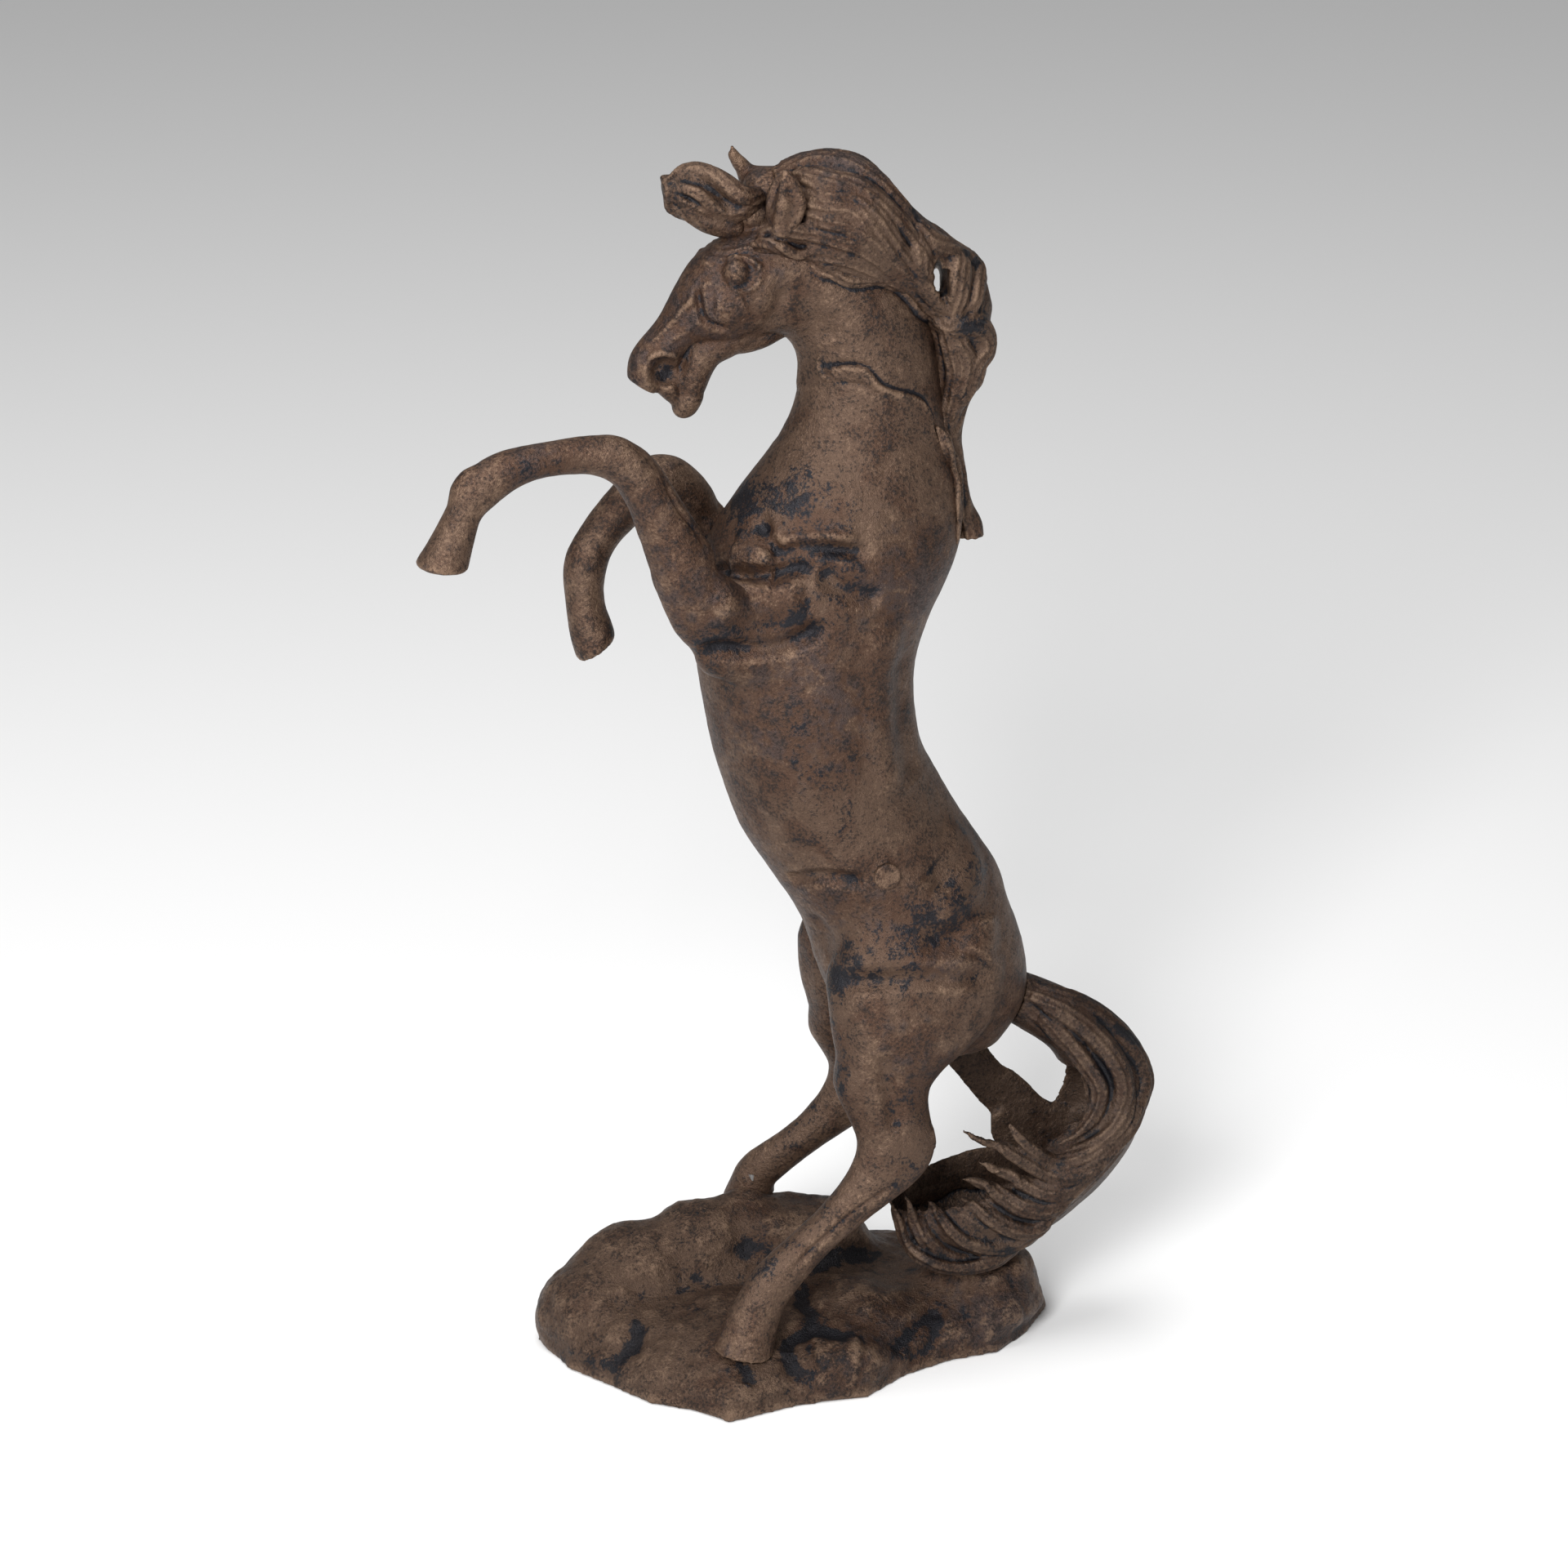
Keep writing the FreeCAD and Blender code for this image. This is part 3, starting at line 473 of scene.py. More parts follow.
horseStrokes = {
    "strokes": [   # radius, lift, path on the left side; the right side mirrors it
        (1.7, 1.3, [(-29.5, -3, 360), (-27.5, -3.5, 361.5), (-24.5, -7, 361.5), (-20.5, -9, 361),
         (-16.5, -10, 361.5), (-12.5, -11.5, 359.5), (-11, -12.5, 356.5)]),  # brow
        (1.5, 1.0, [(-29, 3, 360.5), (-27, -1, 363), (-23.5, -5.5, 363), (-20, -7.5, 363),
         (-15.5, -8.5, 364), (-10.5, -9.5, 364.5)]),  # upper brow
        (1.4, 0.9, [(-26.5, -0.5, 363), (-24, -1.5, 364.5), (-22.5, -5, 364), (-23.5, -5.5, 363)]),
        (1.5, 0.8, [(-21, -11, 355.5), (-19.5, -12, 352.5), (-16, -12.5, 352), (-13, -12.5, 353.5),
         (-11, -12.5, 356.5)]),
        (2.2, -1.7, [(-30, -8, 352.5), (-29.5, -9, 347.5), (-27.5, -8.5, 343), (-23.5, -9, 341),
         (-20.5, -9, 341)]),
        (1.6, 0.5, [(-29, -8.5, 352.5), (-26, -9.5, 354), (-23, -11, 353), (-21.5, -11.5, 351)]),
        (8, 0.9, [(-25.5, -10.5, 347.5), (-21, -11.5, 347.5), (-16, -12, 349.5)]),  # cheek
        (4, -0.6, [(-5, -13.5, 354), (-5.5, -12.5, 349), (-7.5, -10, 343.5), (-11.5, -7, 339.5),
         (-17.5, -6.5, 337.5)]),
        (2, 1.0, [(-29.5, -9, 351), (-33, -7, 347), (-36, -6, 343), (-39.5, -5.5, 339.5),
         (-44, -5, 335.5)]),  # nasal ridge
        (1.4, 0.4, [(-28.5, -8.5, 343), (-33, -6.5, 339), (-37, -6.5, 336.5), (-40.5, -6.5, 334)]),
        (1.5, -1.4, [(-21, -8.5, 340), (-25.5, -6.5, 339), (-28.5, -4, 336.5), (-31, -3.5, 333.5),
         (-33.5, -1.5, 330)]),
        (1.6, 1.0, [(-45, -6, 330.5), (-42, -6.5, 332.5), (-38.5, -6, 332.5), (-35, -1.5, 329.5)]),
        (4.5, -0.7, [(-4, -8.5, 341), (-6.5, -11.5, 346), (-5.5, -13, 352), (-3, -13, 357)]),  # throat
        (8, -1.1, [(-3, -13.5, 354), (2, -12.5, 347), (7, -12, 339.5), (9, -11.5, 334.5)]),  # neck
        (6, 0.5, [(-1.5, -0.5, 336.5), (2, -0.5, 331), (3, -1, 325.5), (2, 0, 317)]),  # windpipe
        (1.1, 0.8, [(7.5, -9.5, 331), (6.5, -8.5, 328), (7, -9, 325), (8.5, -10, 323.5),
         (10, -11.5, 323)]),
        (1.6, -0.6, [(10, -11.5, 322.5), (14, -13.5, 322.5), (18.5, -15, 322), (22, -15.5, 320),
         (27, -15.5, 317.5), (32, -15, 315.5)]),
        (4.5, -2.4, [(-11.5, -12.5, 283.5), (-11, -16.5, 278.5), (-7.5, -21, 274),
         (0, -23.5, 275.5), (11.5, -26, 274.5), (19.5, -26, 272.5)]),  # chest
        (4.5, 1.8, [(-10.5, -16.5, 280), (-8, -20, 276), (-2, -22.5, 276.5), (7.5, -24.5, 277.5),
         (15.5, -25.5, 276.5)]),  # chest
        (5, -3.0, [(-29.5, -28.5, 274), (-22.5, -12, 266), (-16, -19, 266), (-9, -23, 267.5),
         (-3, -24.5, 269.5), (3.5, -26, 270)]),  # shoulder
        (12, 2.4, [(-20.5, -12, 270.5), (-15.5, -17.5, 270), (-9.5, -21.5, 270.5)]),
        (10, 2.8, [(-30.5, -31, 262), (-20.5, -25.5, 260.5), (-10, -23.5, 260.5),
         (-0.5, -26.5, 261.5)]),  # upper arm
        (5, -3.0, [(-33.5, -24.5, 245.5), (-27, -28, 246), (-16.5, -25.5, 245.5),
         (-8.5, -25.5, 246), (-1, -27.5, 249), (5, -28.5, 253.5)]),  # under the upper arm
        (6, -2.0, [(3.5, -26, 270), (9, -28, 263.5), (17, -27.5, 260.5), (22.5, -27, 259)]),
        (11, 2.2, [(24, -26, 253.5), (24, -24.5, 240.5), (25, -23.5, 227.5), (25, -24, 214.5),
         (27, -24, 202.5), (28.5, -24.5, 193)]),  # loin
        (12, -1.8, [(29.5, -21.5, 239.5), (30, -19.5, 222), (31, -20, 209.5), (34.5, -19.5, 196)]),
        (4.5, -2.2, [(-2.5, -12, 165.5), (3, -20.5, 168.5), (10, -24.5, 169), (18, -27, 168)]),  # flank
        (10, 1.9, [(43.5, -18.5, 179), (50.5, -15, 173), (53.5, -16.5, 167), (51, -22, 161.5),
         (45, -26, 158), (38, -28, 156.5)]),  # hip
        (8, -1.4, [(39, -24.5, 171), (42, -25, 166.5), (43, -25.5, 162.5)]),  # below the hip
        (6, 0.5, [(36.5, -26.5, 167.5), (36.5, -28.5, 156.5)]),  # hip
        (8, -1.7, [(41, -29, 147.5), (44.5, -28.5, 147.5)]),  # haunch
        (9, 2.2, [(56.5, -22, 152.5), (56.5, -24, 145.5), (53.5, -28, 140)]),  # haunch
        (12, 2.0, [(9.5, -4.5, 130.5), (12.5, -25, 141.5), (20, -27, 145.5), (27.5, -29.5, 143.5),
         (34.5, -31, 140.5), (44, -30.5, 139.5), (55, -28, 136.5)]),
        (5.5, -2.3, [(7.5, -23.5, 135.5), (15.5, -28.5, 136.5), (27.5, -31.5, 137),
         (43, -31.5, 136.5), (58.5, -27, 133.5)]),  # thigh
        (4.5, -0.9, [(4, -12, 154), (7, -13, 148.5), (8, -13.5, 145.5), (8, -2.5, 134.5)]),  # groin
    ],
    "grabs": [     # radius, move, path
        (30, (0, 0, -2.2), [(-46, 0, 328), (-30, 0, 344), (-16, 0, 346)]),      # head
        (9, (-0.4, 0, -2.6), [(-30, 0, 323), (-32, 0, 317)]),                   # lower jaw
        (14, (-0.8, 0, -2.2), [(-110, -28, 281)]),                              # left fore hoof
        (9, (0, 0, 0.9), [(-95, -28, 305), (-60, -26, 309)]),
        (50, (-1.4, 0, 0), [(5, 0, 262), (6, 0, 205)]),                         # barrel
        (24, (2.4, 0, 0), [(58, 0, 192), (64, 0, 170)]),                        # croup
        (24, (-0.9, 0, 0), [(-6, 0, 176), (0, 0, 168)]),                        # belly
        (17, (3.0, 0, 0), [(2, -20, 140), (5, -24, 115)]),                      # thighs
        (17, (3.0, 0, 0), [(2, 20, 140), (5, 24, 112)]),
        (9, (-1.9, 0, -0.6), [(-40, -25, 268), (-33, -25, 250), (-26, -22, 238)]),  # left forearm
        (9, (-1.4, 0, 1.4), [(-106, -28, 304)]),
        (12, (1.2, 0, -2.0), [(25, 28, 72), (0, 35, 50)]),                      # right hind cannon
    ],
    "blends": [    # paths along the joints, left side
        [(10, -28, 148), (30, -30, 151), (48, -28, 152), (64, -16, 152)],
        [(-30, -30, 240), (-20, -31, 236), (-12, -29, 244), (-12, -28, 254)],
    ],
    "swells": [    # radius, amount, path
        (14, 0.55, [(-38, -25, 276), (-50, -25, 301), (-72, -26, 308), (-98, -28, 301), (-108, -28, 284)]),
        (12, 0.85, [(-28, 24, 281), (-39, 23.5, 285), (-52, 22, 273), (-60, 20, 258), (-58, 18, 238)]),
    ],
    "legs": [      # left side only
        (1.3, -0.8, [(-47.5, -25, 306.5), (-44.5, -28.5, 300), (-40, -29.5, 291),
         (-34.5, -28.5, 283), (-31, -29.5, 274)]),  # forearm
        (5, 0.5, [(-58, -28.5, 311), (-53.5, -29, 309), (-50.5, -30, 305.5)]),  # knee
        (5, -1.5, [(22, -33.5, 113.5), (24.5, -33.5, 99.5), (27, -33.5, 85.5)]),  # gaskin
        (1.7, -0.8, [(30, -33, 71), (14.5, -33.5, 61.5), (1, -34, 50.5), (-8, -35, 42)]),  # tendon
        (3, 0.6, [(39, -28.5, 85), (40.5, -27.5, 77.5)]),  # hock
    ],
    "steps": [     # a raised sheet: reach (negative when the low side is above), lift, path
        (9, 1.2, [(2.5, -13, 358.5), (6.5, -13.5, 355), (10.5, -13.5, 354), (15.5, -13.5, 351.5),
         (20, -13.5, 351.5), (25, -12, 351.5), (29.5, -11, 349.5), (34, -10, 345),
         (37.5, -8.5, 340.5), (42.5, -2, 335.5), (43.5, -1.5, 331), (44.5, -1.5, 323.5),
         (45.5, -1.5, 317.5), (46.5, -1.5, 310)]),
        (-6.5, 1.1, [(7, -9, 326.5), (9.5, -11, 327), (14, -13.5, 328), (19, -15, 327.5),
         (22, -15.5, 325), (24.5, -15.5, 322), (28.5, -15, 320), (33, -14, 318.5),
         (38, -12.5, 315.5), (40.5, -11, 311), (41.5, -11.5, 306), (43.5, -10.5, 302),
         (48, -5.5, 299)]),  # second lock
    ],
    # Dark dabs: wax, and painted shade in the creases under the arms, at the chest, hip and thigh.
    "waxAndShade": [       # radius, amount, path
        (9.5, 0.56, [(-17.5, 6.5, 281.5), (-15, -3.5, 286), (-9, -9.5, 290), (-1.5, -15, 292.5)]),
        (9.5, 0.43, [(-8.5, -16, 283.5), (-3, -18, 285), (2, -20, 286.5), (8.5, -21, 288),
         (14, -23, 285.5)]),
        (7.5, 0.31, [(-16.5, -16, 271.5), (-11.5, -20.5, 270.5), (-8, -23, 268.5), (0, -24, 273),
         (11.5, -26, 274)]),
        (8.5, 0.5, [(5, -27, 266.5), (11, -28, 263), (17, -27.5, 260), (22, -27, 259)]),
        (8.5, 0.5, [(-12, -23.5, 252), (-8.5, -25, 254), (-2.5, -27, 255.5), (3, -28, 254.5)]),
        (9.5, 0.56, [(-33.5, -26, 246.5), (-29, -28, 247.5), (-23.5, -28.5, 248.5)]),
        (5.5, 0.31, [(-4, -27.5, 224), (-3.5, -27.5, 215.5), (-2.5, -27, 207)]),
        (5.5, 0.31, [(3, -28.5, 217.5), (5, -28.5, 222.5), (8, -28.5, 225.5)]),
        (6.5, 0.28, [(16.5, -27, 221.5), (17.5, -27, 216), (15.5, -28, 211)]),
        (15, 0.28, [(3, -28, 200.5), (9, -28, 195), (7.5, -27, 188.5)]),
        (9.5, 0.62, [(37, -28.5, 154), (43.5, -27, 156.5), (49.5, -23.5, 160), (54.5, -18, 163)]),
        (11.5, 0.62, [(10.5, -24, 139.5), (18, -26.5, 144.5), (23.5, -29, 142),
         (29.5, -31, 138.5)]),
        (7.5, 0.43, [(50.5, -11.5, 177), (53.5, -11, 172.5), (55, -13.5, 167.5)]),
        (9.5, 0.31, [(26, -28, 154), (33, -28.5, 152.5), (40, -28.5, 153)]),
        (7.5, 0.43, [(6.5, -21.5, 134.5), (6.5, -26, 122.5), (9, -28, 109.5), (11, -29, 99)]),
        (9.5, 0.37, [(33, -31.5, 95.5), (35.5, -31.5, 84), (30, -33.5, 74)]),
        (7.5, 0.5, [(10.5, -27.5, 68), (0.5, -26, 56.5), (-11.5, -32, 46.5), (-17, -34, 39.5)]),
        (5.5, 0.43, [(-86.5, -32, 307), (-79, -31, 307), (-72, -30.5, 306.5)]),
    ],
}


def ovalTube(name, rows):
    # A closed tube through (radius, centre) rows.
    centres = np.array([row[1] for row in rows], float)
    radii = np.interp(np.linspace(0, 1, 24), np.linspace(0, 1, len(rows)), [row[0] for row in rows])
    line = smoothPath(centres, 0.2)
    line = line[np.linspace(0, len(line) - 1, 24).astype(int)]
    return sweep(name, line, radii, radii, np.tile((0.0, -1.0, 0.0), (24, 1)))


def sweep(name, line, width, depth, outward):
    # An oval rod along a line; width lies across, depth along the outward direction.
    corners = 14
    ahead = unit(np.gradient(line, axis=0))
    across = unit(np.cross(ahead, outward))
    out = unit(np.cross(across, ahead))
    turn = np.arange(corners) * 2 * math.pi / corners
    rings = [p + np.outer(np.cos(turn) * w, a) + np.outer(np.sin(turn) * d, o)
             for p, w, d, a, o in zip(line, width, depth, across, out)]
    points = np.vstack(rings)
    faces = [(i * corners + j, i * corners + (j + 1) % corners,
              (i + 1) * corners + (j + 1) % corners, (i + 1) * corners + j)
             for i in range(len(line) - 1) for j in range(corners)]
    last = (len(line) - 1) * corners
    faces += [tuple(range(corners))[::-1], tuple(range(last, last + corners))]
    piece = addMesh(name, points, faces)
    pick(piece)
    bpy.ops.object.mode_set(mode="EDIT")
    bpy.ops.mesh.select_all(action="SELECT")
    bpy.ops.mesh.normals_make_consistent(inside=False)
    bpy.ops.object.mode_set(mode="OBJECT")
    return piece


castingNodes = ["left_body_shell", "right_body_shell", "neck_and_head", "left_forearm",
                "left_foreleg", "right_forearm", "right_foreleg", "left_hind_leg",
                "right_hind_leg"]
pinNodes = ["flank_screw", "belly_peg", "back_peg", "left_foreleg_pin", "left_shoulder_pin",
            "right_foreleg_pin", "right_shoulder_pin", "left_hip_pin", "right_hip_pin", "tail_pin",
            "neck_stud", "mane_root_pin", "mane_crest_pin", "forelock_pin", "left_hoof_stud",
            "right_hoof_stud"]
filling = [lump(place, radii) for place, radii in (
    ((8, 0, 275), (20, 18, 18)), ((5, 0, 245), (18, 20, 24)), ((5, 0, 215), (20, 20, 24)),
    ((18, 0, 185), (22, 20, 24)), ((35, 0, 155), (22, 20, 24)), ((42, 0, 130), (20, 18, 16)))]
extras = [lump(*row) for row in horseLumps]
earLine = smoothPath([earLeaf["root"], earLeaf["middle"], earLeaf["tip"]], 0.5)
earPlaces = np.linspace(0, 1, len(earLine))
earWidth, earDepth = [np.interp(earPlaces, earLeaf["stations"], earLeaf[key])
                      for key in ("halfWidth", "halfDepth")]
ear = sweep("ear", earLine, earWidth, earDepth, np.tile((0.0, -1.0, 0.0), (len(earLine), 1)))
extras += [ear, ovalTube("earFar", farEar)]
body = copyForm("body", *castingNodes, *pinNodes)
body = fuse(body, extras + filling, horse["voxel"], horse["rounding"])
body = keepLargest(body)
say(f"horse skin, {len(body.data.vertices)} points")

clay = Clay(body)
for radius, move, path in horseStrokes["grabs"]:
    clay.grab(radius, move, path)
clay.readNormals()
for radius, amount, path in horseStrokes["swells"]:
    clay.swell(radius, amount, path)
clay.readNormals()
clay.soften(18, horse["blending"], horseStrokes["blends"]
            + [mirrored(path) for path in horseStrokes["blends"]])
clay.readNormals()
for radius, lift, path in horseStrokes["strokes"]:
    clay.stroke(radius, lift, path)
    clay.stroke(radius, lift, mirrored(path))
clay.readNormals()
for radius, lift, path in horseStrokes["legs"]:
    clay.stroke(radius, lift, path)
for reach, lift, path in horseStrokes["steps"]:
    clay.step(reach, lift, path)
    clay.step(reach, lift, mirrored(path), hand=-1)
for side in (-1, 1):
    clay.stroke(5.6, -3.4, [(-39.9, side * 5.6, 326.8)], blunt=True)               # open mouth
    clay.stroke(1.8, 0.9, [(-39.9 + 6.2 * math.cos(a), side * 6, 326.8 + 5.8 * math.sin(a))
                           for a in np.linspace(-0.9, 2.4, 11)])                   # lips
    clay.stroke(1.6, -0.5, [(-18.4 + 4.4 * math.cos(a), side * 13, 357.6 + 4.4 * math.sin(a))
                            for a in np.linspace(0, 2 * math.pi, 13)])             # round the eye
    clay.stroke(1.5, 0.4, [(-18.4 + 5.6 * math.cos(a), side * 12.5, 357.6 + 5.4 * math.sin(a))
                           for a in np.linspace(-0.3, 3.5, 9)])                    # lids
    clay.dab(3.6, 1.0, [(-39.6, side * 4, 326.4)])
clay.stroke(3.2, -0.9, [(-4.4, -18, 371.5), (-2.8, -18, 377.5), (-4.2, -17, 384)])  # hollow of the ear
clay.stroke(2.0, -1.3, [(-21, -11, 363.5), (-13.5, -12, 372), (-9, -13, 379), (-6.5, -13, 386)])
clay.stroke(5.6, -1.4, [(24, -29, 170)], blunt=True)                              # screw pit
clay.readNormals()
for radius, amount, path in horseStrokes["waxAndShade"]:
    clay.dab(radius, amount, path)
    clay.dab(radius, amount * 0.8, mirrored(path))
clay.roughen(horse["unevenness"], horse["unevenSize"])
clay.finish()
say("horse modelled")

# Parting the horse along its joints

parting = {
    "legCover": 2.6,        # how far a leg's tool stands outside the leg
    "neckHeight": 302,
    "leftKnee": ((-38.8, -24.8, 275), 20),     # a point on the parting, its tilt
    "rightKnee": ((-25.8, 23.6, 273), 20),
}


def halves(piece, point, normal, name):
    # Part a piece by a plane; returns the part behind the normal and the part before it.
    other = piece.copy()
    other.data = piece.data.copy()
    other.name = name
    bpy.context.scene.collection.objects.link(other)
    for part, inner in ((piece, False), (other, True)):
        pick(part)
        bpy.ops.object.mode_set(mode="EDIT")
        bpy.ops.mesh.select_all(action="SELECT")
        bpy.ops.mesh.bisect(plane_co=Vector(point) * mm, plane_no=normal, use_fill=True,
                            clear_inner=inner, clear_outer=not inner)
        bpy.ops.object.mode_set(mode="OBJECT")
    return piece, other


def legTool(name, *nodeNames):
    tool = copyForm(name, *nodeNames)
    tool = fuse(tool, [], 1.2, 0)
    shell = Clay(tool)
    shell.points += shell.normals * parting["legCover"]
    shell.readNormals()
    return fuse(tool, [], 1.0, 3)


def takeLeg(whole, name, *nodeNames):
    tool = legTool(name + "Tool", *nodeNames)
    leg = whole.copy()
    leg.data = whole.data.copy()
    bpy.context.scene.collection.objects.link(leg)
    combine(leg, tool, "INTERSECT")
    combine(whole, tool, "DIFFERENCE")
    bpy.data.objects.remove(tool)
    leg.name = name
    return leg


leftFront = takeLeg(body, "leftFront", "left_forearm", "left_foreleg", "left_foreleg_pin")
rightFront = takeLeg(body, "rightFront", "right_forearm", "right_foreleg", "right_foreleg_pin")
leftHind = takeLeg(body, "leftHind", "left_hind_leg")
rightHind = takeLeg(body, "rightHind", "right_hind_leg")
torso, head = halves(body, (0, 0, parting["neckHeight"]), (0, 0, 1), "head")
leftShell, rightShell = halves(torso, (0, 0, 0), (0, 1, 0), "rightShell")


def partKnee(leg, joint):
    (point, tilt) = parting[joint]
    lean = math.radians(tilt)
    return halves(leg, point, (-math.sin(lean), 0, math.cos(lean)), joint)


leftForearm, leftForeleg = partKnee(leftFront, "leftKnee")
rightForearm, rightForeleg = partKnee(rightFront, "rightKnee")
say("horse parted into castings")

horsePatina = patina("horsePatina")
for piece, name, replaced in (
        (leftShell, "leftBody", "left_body_shell"), (rightShell, "rightBody", "right_body_shell"),
        (head, "neckAndHead", "neck_and_head"), (leftForearm, "leftForearm", "left_forearm"),
        (leftForeleg, "leftForeleg", "left_foreleg"),
        (rightForearm, "rightForearm", "right_forearm"),
        (rightForeleg, "rightForeleg", "right_foreleg"),
        (leftHind, "leftHindLeg", "left_hind_leg"), (rightHind, "rightHindLeg", "right_hind_leg")):
    finishPiece(piece, name, horsePatina, [replaced])

# Hair: oval locks laid on the cast form, fused, then combed

hair = {
    "voxel": 0.58,
    "pitch": 2.3,          # between two strands
    "comb": 0.25,          # depth of the grooves
}
maneLocks = [    # width, path on the left; the right side mirrors it
        (8, [(-2.5, -1.5, 386), (6, -1, 387.5), (14, -2.5, 387.5), (20, -5.5, 385.5),
         (26, -8, 381.5), (32.5, -9, 375.5), (38.5, -7.5, 370)]),  # m1
        (8, [(0, -5.5, 385.5), (4.5, -9, 384.5), (10.5, -11.5, 383), (16, -12, 382),
         (21.5, -13.5, 379), (27, -14, 374), (33, -13.5, 367.5), (38, -12.5, 360.5)]),  # m2
        (7, [(3, -10.5, 382), (8, -13.5, 379.5), (15.5, -14.5, 378.5), (20, -16, 375.5),
         (24, -16.5, 370.5), (28.5, -15.5, 364), (34.5, -13, 356.5), (39.5, -11.5, 351)]),  # m3
        (7, [(2.5, -12.5, 377.5), (8, -15, 376.5), (15, -16, 375.5), (18, -17, 372.5),
         (21.5, -17, 367.5), (26, -16, 362), (33, -12.5, 354), (41.5, -10.5, 346.5)]),  # m4
        (6.5, [(2, -13, 374), (7.5, -16, 372.5), (14, -17, 371), (19, -17.5, 367.5),
         (23, -16.5, 364), (29.5, -14, 357), (37, -11.5, 350.5), (45, -9.5, 343)]),  # m5
        (7, [(-11.5, -7, 367), (-5, -13, 369.5), (3.5, -13.5, 368), (11, -16.5, 366),
         (17.5, -16.5, 363.5), (24.5, -15, 358.5), (32, -11.5, 351.5), (40, -8.5, 343.5),
         (46, -8.5, 339.5)]),  # m6
        (8, [(-13.5, -8.5, 364.5), (-8, -12, 365), (2, -11.5, 362), (11.5, -14.5, 360),
         (19.5, -14, 357), (28.5, -11, 351.5), (36, -8, 345.5), (43, -7.5, 339)]),  # m7
        (5, [(3.5, -13, 359), (8.5, -13, 356.5), (15.5, -13.5, 353), (24.5, -12, 353),
         (30.5, -11, 351.5), (36, -8, 345.5), (43, -7.5, 339)]),  # m8
        (8, [(37, -9.5, 369.5), (41.5, -9.5, 364), (48.5, -6, 361), (54.5, 0, 356),
         (56.5, -1, 352.5), (56, -6.5, 347.5), (54.5, -8, 342), (50, -9, 339)]),  # r1
        (8.5, [(50.5, -6, 358.5), (49.5, -9.5, 353.5), (49, -10, 347), (48, -9.5, 342),
         (47, -8.5, 338.5)]),  # r2
        (7, [(35.5, -12, 366.5), (36.5, -13, 360), (38, -11.5, 351), (42.5, -9.5, 344),
         (47, -9, 339.5)]),  # r3
        (8, [(42.5, -6.5, 338), (46, -8, 336.5), (50, -8.5, 337), (55.5, -7.5, 336.5),
         (59, -5, 332.5), (59.5, -4.5, 327.5), (56, -6, 323), (55, -5.5, 316), (52.5, -5.5, 310.5),
         (49.5, -5, 305)]),  # r4
        (7, [(47.5, -7.5, 334), (50, -7.5, 329.5), (52, -7, 324.5), (51, -6.5, 318),
         (49, -5.5, 312), (48, -4.5, 305)]),  # r5
        (6, [(45.5, -7.5, 336.5), (47.5, -7, 329.5), (49, -6.5, 322.5), (48.5, -5.5, 315.5),
         (47.5, -5, 308.5)]),  # r6
        (7, [(47.5, -4.5, 307), (48, -4.5, 301.5), (49.5, -4.5, 296.5), (52, -4.5, 290.5),
         (53, -4.5, 283.5), (53.5, -4, 277.5), (55, -4, 270)]),  # r7
        (6.5, [(42.5, -10.5, 306.5), (45.5, -10, 299), (49, -7.5, 292.5), (49.5, -9.5, 285),
         (49.5, -11, 278), (49.5, -10.5, 269)]),  # r8
]
forelockLocks = [
        (7, [(-7.5, 3, 376.5), (-15, -3.5, 378), (-21.5, -2, 382), (-26.5, 0, 384.5),
         (-32, 1, 385), (-38, -1.5, 383.5)]),  # f1
        (6, [(-11, -3.5, 375.5), (-16, -3, 374.5), (-20.5, -2.5, 374.5), (-25, -3, 377),
         (-29, -3.5, 380), (-35, -2.5, 382)]),  # f2
        (7, [(-15, 2.5, 368.5), (-20, 0, 373), (-25, -0.5, 373.5), (-30.5, 0, 374),
         (-35.5, -0.5, 374.5), (-37.5, 0, 374.5)]),  # f3
        (6, [(-13.5, -3, 373), (-18.5, -1.5, 373), (-24.5, -2, 374.5), (-30.5, -2.5, 376.5),
         (-36, -2.5, 378.5)]),  # f4
    (9, [(-13, 0, 369.5), (-21, -0.5, 371), (-29, -1, 373.5), (-35.5, -1.5, 376)]),
    (7, [(-11, 1, 374), (-19, 1, 376), (-27, 1, 378)]),
]
